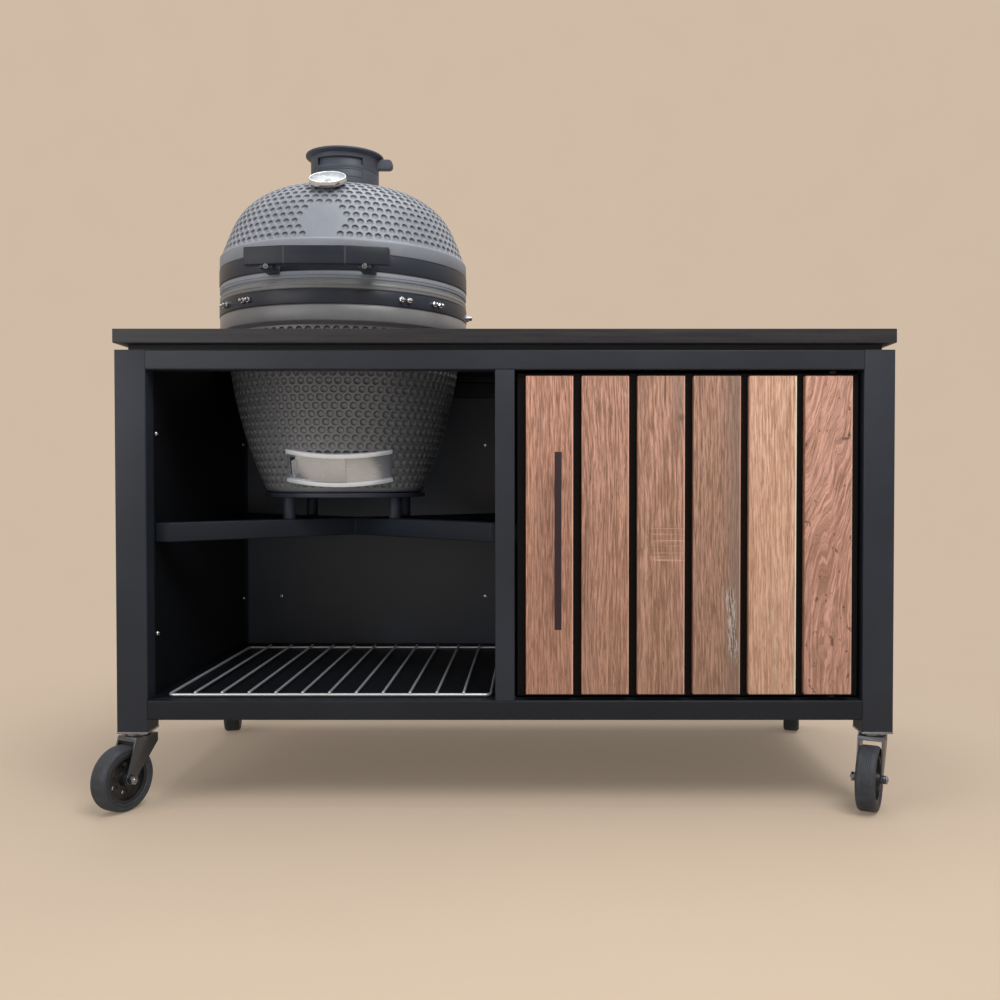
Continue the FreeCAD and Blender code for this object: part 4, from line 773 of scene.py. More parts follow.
def refined(node, finish, edge=0.0, segments=3, limit=34.0, rounded=0.0):
    """Merged copy of a CAD piece with eased edges and smooth shading, in place of the plain one."""
    mesh = nodes[node].data.copy()
    work = bmesh.new()
    work.from_mesh(mesh)
    bmesh.ops.remove_doubles(work, verts=work.verts, dist=SAME_POINT)
    if edge:
        bmesh.ops.dissolve_limit(
            work, angle_limit=math.radians(FLAT_ANGLE), verts=work.verts, edges=work.edges
        )
    if rounded:
        round_corners(work, rounded)
    work.to_mesh(mesh)
    work.free()
    piece = new_object(node + "_piece", mesh)
    if edge:
        ease = piece.modifiers.new("ease", "BEVEL")
        ease.width = edge
        ease.segments = segments
        ease.limit_method = "ANGLE"
        ease.angle_limit = math.radians(limit)
        ease.use_clamp_overlap = True
        settled(piece)
    smoothed(piece.data, limit)
    return fitted(piece, finish, nodes[node]["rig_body"], (node,))


def arc(start, end, radius, turn, count):
    """Points of an arc after its start, to the left for turn 1 and to the right for turn -1."""
    a, b = Vector(start), Vector(end)
    chord = b - a
    rise = math.sqrt(radius**2 - (chord.length / 2) ** 2)
    centre = (a + b) / 2 + Vector((-chord.y, chord.x)).normalized() * rise * turn
    first = math.atan2(a.y - centre.y, a.x - centre.x)
    sweep = math.atan2(b.y - centre.y, b.x - centre.x) - first
    sweep = (sweep * turn) % TURN * turn
    angles = [first + sweep * k / count for k in range(1, count + 1)]
    return [(centre.x + radius * math.cos(angle), centre.y + radius * math.sin(angle)) for angle in angles]


def round_point(radius, angle, height):
    """Point round Z, at an angle from the front."""
    return radius * math.sin(angle), -radius * math.cos(angle), height


def bridged(work, near, far):
    """Faces between two rings of as many points."""
    for k in range(len(near)):
        nxt = (k + 1) % len(near)
        work.faces.new((near[k], near[nxt], far[nxt], far[k]))


def lathe(profile, columns, closed=False):
    """Shape turned about Z from (radius, height) points; the first column faces the back."""
    work = bmesh.new()
    angles = [TURN * k / columns - math.pi for k in range(columns)]
    rings = []
    for radius, height in profile:
        rings.append([work.verts.new(round_point(radius, angle, height)) for angle in angles])
    for lower, upper in zip(rings, rings[1:]):
        bridged(work, lower, upper)
    if closed:
        bridged(work, rings[-1], rings[0])
    return work


# Angle in degrees that one straight piece of a bent bar spans
BAR_STEP = 4


def sector_bar(work, radii, angles, levels):
    """Add a bar bent round Z, between two radii, two angles from the front and two heights."""
    first, last = angles
    count = max(2, round(math.degrees(last - first) / BAR_STEP))
    whole = last - first > TURN - 0.01
    inner, outer = radii
    low, high = levels
    corners = ((inner, low), (outer, low), (outer, high), (inner, high))
    sections = []
    for k in range(count if whole else count + 1):
        angle = first + (last - first) * k / count
        sections.append([work.verts.new(round_point(radius, angle, height)) for radius, height in corners])
    for k in range(count):
        bridged(work, sections[k], sections[(k + 1) % len(sections)])
    if not whole:
        work.faces.new(sections[0])
        work.faces.new(sections[-1])


def plain_mesh(work, name):
    """Mesh of a shape as it is."""
    mesh = bpy.data.meshes.new(name)
    work.to_mesh(mesh)
    work.free()
    return mesh


def mesh_from(work, name):
    """Clean mesh of a shape, with its faces pointing outwards."""
    bmesh.ops.remove_doubles(work, verts=work.verts, dist=2 * SAME_POINT)
    bmesh.ops.dissolve_degenerate(work, edges=work.edges, dist=1e-7)
    bmesh.ops.recalc_face_normals(work, faces=work.faces)
    return plain_mesh(work, name)


def placed(work, name, sharp):
    """Smooth object of a shape turned about the oven axis."""
    bmesh.ops.translate(work, verts=work.verts, vec=oven_axis())
    piece = new_object(name, mesh_from(work, name))
    smoothed(piece.data, sharp)
    return piece


def geometry_tree(name, inputs):
    """Geometry tree with named inputs; gives the graph and a value for each input."""
    tree = bpy.data.node_groups.new(name, "GeometryNodeTree")
    for label, kind in inputs.items():
        tree.interface.new_socket(name=label, in_out="INPUT", socket_type="NodeSocket" + kind)
    tree.interface.new_socket(name="Geometry", in_out="OUTPUT", socket_type="NodeSocketGeometry")
    graph = Graph(tree)
    entry = graph.node("NodeGroupInput")
    return graph, {label: graph.also(entry, label) for label in inputs}


def end_tree(graph, geometry, material, smooth=True):
    """Close a tree with real geometry and its material."""
    real = graph.node("GeometryNodeRealizeInstances", None, {0: geometry})
    if smooth:
        real = graph.node("GeometryNodeSetShadeSmooth", None, {"Geometry": real})
    painted = graph.node("GeometryNodeSetMaterial", None, {"Geometry": real, "Material": material})
    graph.node("NodeGroupOutput", None, {0: painted})
    return graph.tree


def grown(piece, tree, **given):
    """Run a geometry tree on a piece and keep the result as a plain mesh."""
    grow = piece.modifiers.new("grow", "NODES")
    grow.node_group = tree
    for item in tree.interface.items_tree:
        label = item.name.lower().replace(" ", "_")
        if item.in_out == "INPUT" and label in given:
            grow[item.identifier] = given[label]
    return settled(piece)


def stored(graph, name, kind="FLOAT_VECTOR"):
    """Value that each point carries under a name."""
    return graph.node("GeometryNodeInputNamedAttribute", {"data_type": kind}, {"Name": name})


def shape_of(graph, owner):
    """Shape of another object."""
    return graph.node("GeometryNodeObjectInfo", None, {"Object": owner}, "Geometry")


def set_on_points(graph, points, shape, **given):
    """A shape set on each point."""
    return graph.node("GeometryNodeInstanceOnPoints", None, {"Points": points, "Instance": shape, **given})


def swept(graph, line, radius, resolution, capped=False):
    """Round wire along a line."""
    circle = {"Resolution": resolution, "Radius": radius}
    section = graph.node("GeometryNodeCurvePrimitiveCircle", None, circle)
    sockets = {"Curve": line, "Profile Curve": section, "Fill Caps": capped}
    return graph.node("GeometryNodeCurveToMesh", None, sockets)


# Cells of the dimpled skin join up where their points are nearer than this
CELL_JOIN = 0.00002


def dimple_tree():
    """Skin of dimple cells, laid out by angle and distance up the profile and wrapped round the axis."""
    graph, given = geometry_tree("Dimpled skin", {
        "Geometry": "Geometry", "Cell": "Object", "Profile": "Object", "Axis": "Float", "Depth": "Float",
        "Material": "Material"})
    points = graph.node("GeometryNodeMeshToPoints", None, {"Mesh": given["Geometry"]})
    cells = set_on_points(graph, points, shape_of(graph, given["Cell"]), Scale=stored(graph, "size"))
    cells = graph.node("GeometryNodeRealizeInstances", None, {0: cells})
    angle, along, depth = graph.split(graph.node("GeometryNodeInputPosition"))
    line = {"Curves": shape_of(graph, given["Profile"]), "Length": along}
    point = graph.node("GeometryNodeSampleCurve", {"mode": "LENGTH"}, line, "Position")
    radius, flat, height = graph.split(point)
    slope_r, flat, slope_z = graph.split(graph.also(point, "Tangent"))
    out = radius + depth * slope_z
    across = out * angle.calc("SINE") + given["Axis"]
    where = graph.joined(across, out * angle.calc("COSINE") * -1, height - depth * slope_r)
    hollow = {"Geometry": cells, "Name": "hollow", "Value": depth * -1 / given["Depth"]}
    cells = graph.node("GeometryNodeStoreNamedAttribute", {"data_type": "FLOAT", "domain": "POINT"}, hollow)
    skin = graph.node("GeometryNodeSetPosition", None, {"Geometry": cells, "Position": where})
    skin = graph.node("GeometryNodeMergeByDistance", None, {"Geometry": skin, "Distance": CELL_JOIN})
    return end_tree(graph, skin, given["Material"])


def scatter_tree():
    """Copies of a template on points, turned to the facing and roll stored with each point."""
    graph, given = geometry_tree("Set on points", {
        "Geometry": "Geometry", "Template": "Object", "Material": "Material"})
    turn = graph.node("FunctionNodeAlignRotationToVector", {"axis": "Z"}, {"Vector": stored(graph, "facing")})
    roll = {"Axis": (0, 0, 1), "Angle": stored(graph, "roll", "FLOAT")}
    spin = graph.node("FunctionNodeAxisAngleToRotation", None, roll)
    turn = graph.node("FunctionNodeRotateRotation", {"rotation_space": "LOCAL"}, {0: turn, 1: spin})
    points = graph.node("GeometryNodeMeshToPoints", None, {"Mesh": given["Geometry"]})
    copies = set_on_points(graph, points, shape_of(graph, given["Template"]), Rotation=turn)
    return end_tree(graph, copies, given["Material"], smooth=False)


def rack_tree():
    """Shelf rack: a rounded rim and cross wires on top of it."""
    graph, given = geometry_tree("Shelf rack", {
        "Geometry": "Geometry", "Width": "Float", "Depth": "Float", "Corner": "Float", "Rim wire": "Float",
        "Cross wire": "Float", "Cross lift": "Float", "Count": "Int", "Material": "Material"})
    width, lift = given["Width"], given["Cross lift"]
    outline = {"Width": width, "Height": given["Depth"]}
    loop = graph.node("GeometryNodeCurvePrimitiveQuadrilateral", {"mode": "RECTANGLE"}, outline)
    bends = {"Curve": loop, "Radius": given["Corner"], "Limit Radius": True, "Count": 10}
    loop = graph.node("GeometryNodeFilletCurve", {"mode": "POLY"}, bends)
    rim = swept(graph, loop, given["Rim wire"], 14)
    reach = given["Depth"] / 2 + given["Rim wire"]
    ends = {"Start": graph.joined(0.0, reach * -1, lift), "End": graph.joined(0.0, reach, lift)}
    line = graph.node("GeometryNodeCurvePrimitiveLine", None, ends)
    bar = swept(graph, line, given["Cross wire"], 12, capped=True)
    step = width / (given["Count"] + 1)
    first, offset = graph.joined(step - width / 2, 0.0, 0.0), graph.joined(step, 0.0, 0.0)
    spacing = {"Count": given["Count"], "Start Location": first, "Offset": offset}
    row = graph.node("GeometryNodeMeshLine", None, spacing)
    both = graph.node("GeometryNodeJoinGeometry")
    for part in (rim, set_on_points(graph, row, bar)):
        graph.tree.links.new(part.socket, both.socket.node.inputs[0])
    return end_tree(graph, both, given["Material"])


TREES = {}


def prepare_trees():
    """Make every geometry tree once."""
    TREES.update(dimples=dimple_tree(), scatter=scatter_tree(), rack=rack_tree())


def point_mesh(name, places, **carried):
    """Loose points, each carrying the given values: a number or a vector each."""
    mesh = bpy.data.meshes.new(name)
    mesh.from_pydata([tuple(place) for place in places], [], [])
    for key, values in carried.items():
        single = isinstance(values[0], (int, float))
        mesh.attributes.new(key, "FLOAT" if single else "FLOAT_VECTOR", "POINT")
        for item, value in zip(mesh.attributes[key].data, values):
            setattr(item, "value" if single else "vector", value)
    return mesh


def scattered(name, template_mesh, spots, finish):
    """Copies of a template at spots (place, facing, roll), as one mesh."""
    template = new_object(name + "_template", template_mesh)
    places, facing, roll = zip(*spots)
    points = new_object(name, point_mesh(name, places, facing=facing, roll=roll))
    piece = grown(points, TREES["scatter"], template=template, material=FINISHES[finish])
    bpy.data.objects.remove(template)
    smoothed(piece.data, 35)
    return piece


def pan_head(radius, height):
    """Round screw head with a hexagon socket."""
    shares = ((1, 0), (1, 0.35), (0.82, 0.85), (0.6, 1), (0.42, 1), (0.36, 0.35), (0, 0.35))
    return mesh_from(lathe([(radius * out, height * up) for out, up in shares], 12), "pan_head")


def nut_and_stud(across, height, stud, reach):
    """Hexagon nut with chamfered corners on a stud with a rounded end."""
    shares = ((0.97, 0), (1, 0.15), (1, 0.85), (0.86, 1))
    sides = [(across * out, height * up) for out, up in shares]
    nut = lathe([(stud, 0), *sides, (stud, height)], 6)
    tip = lathe([(stud, height * 0.6), (stud, reach - stud * 0.5), (stud * 0.6, reach), (0, reach)], 12)
    rod = plain_mesh(tip, "stud")
    nut.from_mesh(rod)
    bpy.data.meshes.remove(rod)
    return mesh_from(nut, "nut_and_stud")


def solid_centres(node):
    """Middle of each separate solid of a node."""
    work = bmesh.new()
    work.from_mesh(nodes[node].data)
    bmesh.ops.remove_doubles(work, verts=work.verts, dist=SAME_POINT)
    seen = set()
    centres = []
    for start in work.verts:
        if start in seen:
            continue
        island = [start]
        seen.add(start)
        for vert in island:
            for edge in vert.link_edges:
                other = edge.other_vert(vert)
                if other not in seen:
                    seen.add(other)
                    island.append(other)
        corners = [[vert.co[k] for vert in island] for k in range(3)]
        centres.append(Vector([(min(side) + max(side)) / 2 for side in corners]))
    work.free()
    return sorted(centres, key=lambda place: [round(part, 4) for part in place])


def profile_curve(name, points):
    """Profile line for a turned skin."""
    curve = bpy.data.curves.new(name, "CURVE")
    curve.dimensions = "3D"
    spline = curve.splines.new("POLY")
    spline.points.add(len(points) - 1)
    for target, (radius, height) in zip(spline.points, points):
        target.co = (radius, 0, height, 1)
    return new_object(name, curve)


def line_length(points):
    """Length along a line of points."""
    return sum((Vector(b) - Vector(a)).length for a, b in zip(points, points[1:]))


def point_at(line, distance):
    """Point of a line of points at a distance from its start."""
    for a, b in zip(line, line[1:]):
        step = (Vector(b) - Vector(a)).length
        if distance <= step:
            return Vector(a).lerp(Vector(b), distance / step)
        distance -= step
    return Vector(line[-1])


# Points on each side of a cell, rings in a hollow as shares of its radius, and how steep its wall is
CELL_SIDE = 3
HOLLOW_RINGS = (1.0, 0.86, 0.6)
HOLLOW_STEEPNESS = 4


def dimple_cell(across, up, depth):
    """Unit cell with a round hollow; across and up are the hollow's radii as shares of the cell."""
    work = bmesh.new()
    corners = [Vector(corner) for corner in ((0.5, 0.5), (-0.5, 0.5), (-0.5, -0.5), (0.5, -0.5))]
    sides = zip(corners, corners[1:] + corners[:1])
    border = [a.lerp(b, part / CELL_SIDE) for a, b in sides for part in range(CELL_SIDE)]
    angles = [TURN * (k + CELL_SIDE / 2) / len(border) for k in range(len(border))]
    rings = [[work.verts.new((x, y, 0)) for x, y in border]]
    for share in HOLLOW_RINGS:
        sink = -depth * (1 - share**HOLLOW_STEEPNESS)
        places = [(across * share * math.cos(angle), up * share * math.sin(angle), sink) for angle in angles]
        rings.append([work.verts.new(place) for place in places])
    for outer, inner in zip(rings, rings[1:]):
        bridged(work, outer, inner)
    middle = work.verts.new((0, 0, -depth))
    last = rings[-1]
    for first, second in zip(last, last[1:] + last[:1]):
        work.faces.new((first, second, middle))
    mesh = plain_mesh(work, "dimple_cell")
    # Height of each point in its hollow, which places the painted shadow and highlight on the dimple walls
    rise = mesh.attributes.new("rise", "FLOAT", "POINT")
    for vert in mesh.vertices:
        rise.data[vert.index].value = vert.co.y / up
    return mesh


def dimple_layout(skin_line, rows, row, patch):
    """Places (angle, distance up the profile) and sizes of the cells, alternate rows set off by half a cell.

    Cells round a height for patch, at the front, are flat."""
    sizes = bpy.context.scene.kitchen_sizes
    spots, cell_sizes = [], []
    for i in range(rows):
        along = (i + 0.5) * row
        ring = point_at(skin_line, along).x
        count = round(TURN * ring / sizes.dimple_pitch)
        for j in range(count):
            angle = TURN * (j + 0.5 * (i % 2)) / count
            side = ((angle + math.pi) % TURN - math.pi) * ring / sizes.patch_width
            plain = patch and math.hypot(side, (along - patch) / sizes.patch_height) < 1
            spots.append((angle, along, 0))
            cell_sizes.append((TURN / count, row, 0 if plain else 1))
    return spots, cell_sizes


def turned_body(name, skin_line, rest_line, dimple, patch=None):
    """Ceramic shell: an object with the plain part of its profile, and the mesh of its dimpled part."""
    sizes = bpy.context.scene.kitchen_sizes
    row, radius, depth = dimple
    length = line_length(skin_line)
    rows = round(length / row)
    row = length / rows
    spots, cell_sizes = dimple_layout(skin_line, rows, row, patch)
    shell = new_object(name, point_mesh(name, spots, size=cell_sizes))
    line = profile_curve(name + "_line", skin_line)
    cell = new_object(name + "_cell", dimple_cell(radius / sizes.dimple_pitch, radius / row, depth))
    grown(shell, TREES["dimples"], cell=cell, profile=line, axis=oven_axis().x, depth=depth,
          material=FINISHES["dome"])
    for helper in (line, cell):
        bpy.data.objects.remove(helper)
    skin_mesh = shell.data
    work = lathe(rest_line, sizes.columns)
    bmesh.ops.translate(work, verts=work.verts, vec=oven_axis())
    shell.data = mesh_from(work, name)
    return shell, skin_mesh


def join_shell(shell, mesh):
    """Add a mesh to a shell."""
    work = bmesh.new()
    work.from_mesh(mesh)
    work.from_mesh(shell.data)
    shell.data = plain_mesh(work, shell.name)
    smoothed(shell.data, 42)


# Depth of the seat of a band, and the drop and the height of its eased edges
SEAT_DEPTH = 0.0023
SEAT_DROP = 0.0009
SEAT_EASE = 0.0012


def band_seat(lip, band):
    """Profile of the seat that a steel band lies in, from its lower edge to its upper."""
    low, high = (corner.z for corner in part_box(band))
    seat = lip - SEAT_DEPTH
    return [
        (lip, low - SEAT_EASE), (lip - SEAT_DROP, low), (seat, low),
        (seat, high), (lip - SEAT_DROP, high), (lip, high + SEAT_EASE),
    ]


# Rounding of a rim, its middle point, and the place, depth and half width of the fine groove beside it
RIM_ROUND = 0.002
RIM_CHAMFER = 0.0006
GROOVE_PLACE = 0.006
GROOVE_DEPTH = 0.0012
GROOVE_HALF = 0.0006


def rim(lip, inside, level, way):
    """Profile of a rim from the inside out; way is 1 where the wall rises from it and -1 where it falls."""
    groove = level + way * GROOVE_PLACE
    return [
        (inside, level + way * RIM_ROUND), (inside + RIM_ROUND, level), (lip - RIM_ROUND, level),
        (lip - RIM_CHAMFER, level + way * RIM_CHAMFER), (lip, level + way * RIM_ROUND),
        (lip, groove - way * GROOVE_HALF), (lip - GROOVE_DEPTH, groove - way * GROOVE_HALF * 0.5),
        (lip - GROOVE_DEPTH, groove + way * GROOVE_HALF * 0.5), (lip, groove + way * GROOVE_HALF),
    ]


# Thickness of the ceramic at the lip
LIP_WALL = 0.028
# Dome: radius of its flat top, of a ring on that and of the vent bore
DOME_CROWN = 0.1085
DOME_RING = 0.09
DOME_BORE = 0.062
# Its shoulder's curve and slope, its wall, and the long curves of its outer and inner sides
DOME_SHOULDER = 0.147
DOME_SLOPE = math.radians(24.8)
DOME_WALL = 0.025
DOME_SIDE = 0.738
DOME_INSIDE = 0.713
# Where its inner side starts, the height of its plain lip, the step from there to its side, and the distance
# from the step up to the plain patch
INSIDE_FOOT = 0.075
DOME_LIP = 0.032
DOME_STEP = 0.004
PATCH_PLACE = 0.043


def build_dome():
    """Dome of the lid."""
    sizes = bpy.context.scene.kitchen_sizes
    low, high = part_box("kamado_dome")
    lip = half_width("kamado_dome")
    lip_top, foot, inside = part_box("upper_band")[1].z + DOME_LIP, lip - DOME_STEP, lip - LIP_WALL
    top, under, curve = (DOME_CROWN, high.z), high.z - DOME_WALL, DOME_SHOULDER - DOME_WALL
    cos, sin, centre = math.cos(DOME_SLOPE), math.sin(DOME_SLOPE), high.z - DOME_SHOULDER
    shoulder = (DOME_CROWN + DOME_SHOULDER * cos, centre + DOME_SHOULDER * sin)
    inner = (DOME_CROWN + curve * cos, centre + curve * sin)
    skin = [
        (foot, lip_top), *arc((foot, lip_top), shoulder, DOME_SIDE, 1, 24),
        *arc(shoulder, top, DOME_SHOULDER, 1, 44),
    ]
    rest = [
        top, (DOME_RING, high.z), (DOME_BORE, high.z), (DOME_BORE, under), (DOME_CROWN, under),
        *arc((DOME_CROWN, under), inner, curve, -1, 12),
        *arc(inner, (inside, low.z + INSIDE_FOOT), DOME_INSIDE, -1, 4),
        *rim(lip, inside, low.z, 1), *band_seat(lip, "upper_band"), (lip, lip_top - 0.006),
        (lip - 0.0004, lip_top - 0.0032), (lip - 0.0018, lip_top - 0.0012), (foot, lip_top),
    ]
    dimple = (sizes.dome_row, sizes.dome_dimple, sizes.dome_depth)
    dome, skin_mesh = turned_body("dome_shell", skin, rest, dimple, PATCH_PLACE)
    join_shell(dome, skin_mesh)
    fitted(dome, "dome", "lid", ("kamado_dome",))


# Draft window: its two ends as angles about the curve of the plate, half its height, the radius of that curve
# where the plate leans, and how far the wall of the bowl reaches inwards and outwards from it
DRAFT_WINDOW = (math.radians(-29), math.radians(2))
DRAFT_HALF = 0.02
DRAFT_CURVE = 0.192
DRAFT_INWARDS = 0.07
DRAFT_OUTWARDS = 0.02
# Sleeve of the window: how far inside the curve it starts and ends, and its pieces along the window
SLEEVE_START = 0.036
SLEEVE_END = 0.0005
SLEEVE_COUNT = 12
# Faces this near to the window, as an angle, are cut along its edges
CUT_MARGIN = 0.25


def draft_place():
    """Frame of the leaning draft plate, and its curve, from the joint of the draft door."""
    axis, place = joint_line("draft_slide")
    lean, turn = math.acos(axis.z), math.atan2(axis.x, -axis.y)
    matrix = Matrix.Translation(place) @ Matrix.Rotation(turn, 4, "Z") @ Matrix.Rotation(lean, 4, "X")
    return matrix, DRAFT_CURVE / math.cos(lean)


def windowed(mesh, name):
    """Mesh with the draft window cut out of it."""
    place, curve = draft_place()
    first, last = DRAFT_WINDOW
    work = bmesh.new()
    work.from_mesh(mesh)
    bmesh.ops.transform(work, matrix=place.inverted(), verts=work.verts)

    def near(face, margin):
        middle = face.calc_center_median()
        beside = first - margin < math.atan2(middle.x, -middle.y) < last + margin
        level = abs(middle.z) < DRAFT_HALF + margin * 0.2
        return beside and level and -DRAFT_INWARDS < math.hypot(middle.x, middle.y) - curve < DRAFT_OUTWARDS

    walls = [((0, 0, side * DRAFT_HALF), (0, 0, 1)) for side in (-1, 1)]
    walls += [((0, 0, 0), (math.cos(angle), math.sin(angle), 0)) for angle in (first, last)]
    for point, normal in walls:
        faces = [face for face in work.faces if near(face, CUT_MARGIN)]
        parts = dict.fromkeys(item for face in faces for item in (face, *face.edges, *face.verts))
        bmesh.ops.bisect_plane(work, geom=list(parts), plane_co=point, plane_no=normal, dist=1e-7)
    bmesh.ops.delete(work, geom=[face for face in work.faces if near(face, 0.0)], context="FACES")
    bmesh.ops.transform(work, matrix=place, verts=work.verts)
    return plain_mesh(work, name)


def window_sleeve():
    """Walls of the draft window through the thickness of the bowl."""
    place, curve = draft_place()
    first, last = DRAFT_WINDOW
    angles = [first + (last - first) * k / SLEEVE_COUNT for k in range(SLEEVE_COUNT + 1)]
    around = [(angle, -DRAFT_HALF) for angle in angles] + [(angle, DRAFT_HALF) for angle in reversed(angles)]
    work = bmesh.new()
    rings = []
    for radius in (curve - SLEEVE_START, curve - SLEEVE_END):
        rings.append([work.verts.new(round_point(radius, angle, height)) for angle, height in around])
    bridged(work, *rings)
    bmesh.ops.transform(work, matrix=place, verts=work.verts)
    return plain_mesh(work, "window_sleeve")


# Bowl: the curve of its side, the height of its lip below the band, its step from the lip to the neck, the
# radii of its heel and of its cavity at the top and at the floor, and the thickness of the floor
BOWL_SIDE = 0.97
BOWL_LIP = 0.033
BOWL_STEP = 0.014
BOWL_HEEL = 0.176
CAVITY_TOP = 0.237
CAVITY_FLOOR = 0.142
FLOOR_WALL = 0.031


def build_bowl():
    """Bowl with the draft opening cut through its wall."""
    sizes = bpy.context.scene.kitchen_sizes
    low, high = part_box("kamado_bowl")
    lip = half_width("kamado_bowl")
    neck, inside, lip_low = lip - BOWL_STEP, lip - LIP_WALL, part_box("lower_band")[0].z - BOWL_LIP
    shelf, floor = lip_low - 0.017, low.z + FLOOR_WALL
    heel, neck_low, cavity = (BOWL_HEEL, low.z + 0.011), (neck, lip_low - 0.009), (CAVITY_TOP, shelf)
    skin = [heel, *arc(heel, (neck, shelf), BOWL_SIDE, 1, 60), neck_low]
    rest = [
        neck_low, (neck, lip_low - 0.007), (neck + 0.004, lip_low - 0.0052), (lip - 0.0015, lip_low - 0.0012),
        (lip, lip_low + 0.001), *band_seat(lip, "lower_band"), *reversed(rim(lip, inside, high.z, -1)),
        cavity, *arc(cavity, (CAVITY_FLOOR, floor), BOWL_SIDE, -1, 12), (0.0, floor), (0.0, low.z),
        (0.162, low.z), (0.168, low.z + 0.002), (0.173, low.z + 0.006), heel,
    ]
    dimple = (sizes.bowl_row, sizes.bowl_dimple, sizes.bowl_depth)
    bowl, skin_mesh = turned_body("bowl_shell", skin, rest, dimple)
    bowl.data = windowed(bowl.data, "bowl_shell")
    join_shell(bowl, windowed(skin_mesh, "bowl_skin"))
    join_shell(bowl, window_sleeve())
    fitted(bowl, "bowl", "cabinet", ("kamado_bowl",))


# Screw heads: radius, height, and how near to the back a screw of the back sheet lies
SCREW_RADIUS = 0.0052
SCREW_HEAD = 0.0026
BACK_ZONE = 0.004
# Nuts: radius of the corners, height, radius of the stud and how far it reaches
BAND_NUT = (0.0062, 0.0055, 0.0034, 0.013)
BRACKET_NUT = (0.0058, 0.004, 0.003, 0.006)
AXLE_NUT = (0.0088, 0.0045, 0.0045, 0.0062)
# Place of a bracket nut: in from the side and up from the foot of its bracket
BRACKET_IN = 0.013
BRACKET_UP = 0.004


def build_sheet_screws():
    """Screw heads inside the cabinet, on the back sheet and on the side sheets."""
    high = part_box("panel_screws")[1]
    spots = []
    for place in solid_centres("panel_screws"):
        if abs(place.y) > abs(high.y) - BACK_ZONE:
            spots.append((Vector((place.x, high.y, place.z)), FRONT, 0.0))
        else:
            side = math.copysign(1, place.x)
            spots.append((Vector((side * high.x, place.y, place.z)), Vector((-side, 0, 0)), 0.0))
    screws = scattered("sheet_screws", pan_head(SCREW_RADIUS, SCREW_HEAD), spots, "steel")
    fitted(screws, None, "cabinet", ("panel_screws",))


def build_band_nuts():
    """Nuts on the studs of the lower band, each turned a little further than the last."""
    axis, reach = oven_axis(), half_width("lower_band")
    spots = []
    for index, place in enumerate(solid_centres("band_bolts")):
        outwards = Vector((place.x - axis.x, place.y, 0)).normalized()
        spots.append((Vector((axis.x, 0, place.z)) + outwards * reach, outwards, 0.3 * index))
    bolts = scattered("band_nuts", nut_and_stud(*BAND_NUT), spots, "bezel")
    fitted(bolts, None, "cabinet", ("band_bolts",))


def build_bracket_nuts():
    """Nuts on the front of the handle brackets."""
    low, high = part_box("handle_brackets")
    sides = (low.x + BRACKET_IN, high.x - BRACKET_IN)
    spots = [(Vector((x, low.y, low.z + BRACKET_UP)), FRONT, 0.2) for x in sides]
    caps = scattered("bracket_nuts", nut_and_stud(*BRACKET_NUT), spots, "race")
    fitted(caps, None, "lid")


# Flare under the flange of the cap, as radii and heights from the top of the cap
CAP_FLARE = ((0.0749, -0.0086), (0.0792, -0.0074), (0.0852, -0.0041), (0.0749, -0.0041))
# Plain border on the front of the vent: radii, heights above the foot, half its angle, the width of its level
# lines and the angle of its upright ones
BORDER_RADII = (0.0747, 0.0759)
BORDER_LEVELS = (0.0285, 0.0465)
BORDER_HALF = math.radians(41)
BORDER_LINE = 0.0016
BORDER_END = 0.021
# Bead round the foot of the vent
BEAD_RADII = (0.0747, 0.0756)
BEAD_HEIGHT = 0.003


def build_vent_trim():
    """Flare under the flange of the cap, and the plain border and bead on the front of the vent."""
    top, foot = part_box("vent_cap")[1].z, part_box("vent_chimney")[0].z
    profile = [(radius, top + height) for radius, height in CAP_FLARE]
    flare = placed(lathe(profile, 96, closed=True), "cap_flare", 40)
    fitted(flare, "vent", "vent_cap")
    work = bmesh.new()
    low, high = (foot + level for level in BORDER_LEVELS)
    whole = (-BORDER_HALF, BORDER_HALF)
    sector_bar(work, BORDER_RADII, whole, (low, low + BORDER_LINE))
    sector_bar(work, BORDER_RADII, whole, (high - BORDER_LINE, high))
    sector_bar(work, BORDER_RADII, (-BORDER_HALF, BORDER_END - BORDER_HALF), (low, high))
    sector_bar(work, BORDER_RADII, (BORDER_HALF - BORDER_END, BORDER_HALF), (low, high))
    sector_bar(work, BEAD_RADII, (0, TURN), (foot, foot + BEAD_HEIGHT))
    border = placed(work, "vent_border", 40)
    fitted(border, "vent", "lid")


# Thermometer card: its place along the axis of the needle, its inner and outer radius and its thickness
CARD_PLACE = 0.00902
CARD_RADII = (0.0024, 0.0338)
CARD_THICKNESS = 0.00012
# Ticks: size of one, radius of their ring, lift above the card, first angle and step in degrees, and count
TICK_SIZE = (0.0009, 0.0055, 0.0001)
TICK_RING = 0.0292
TICK_LIFT = 0.0002
TICK_FIRST = -135
TICK_STEP = 10
TICK_COUNT = 28


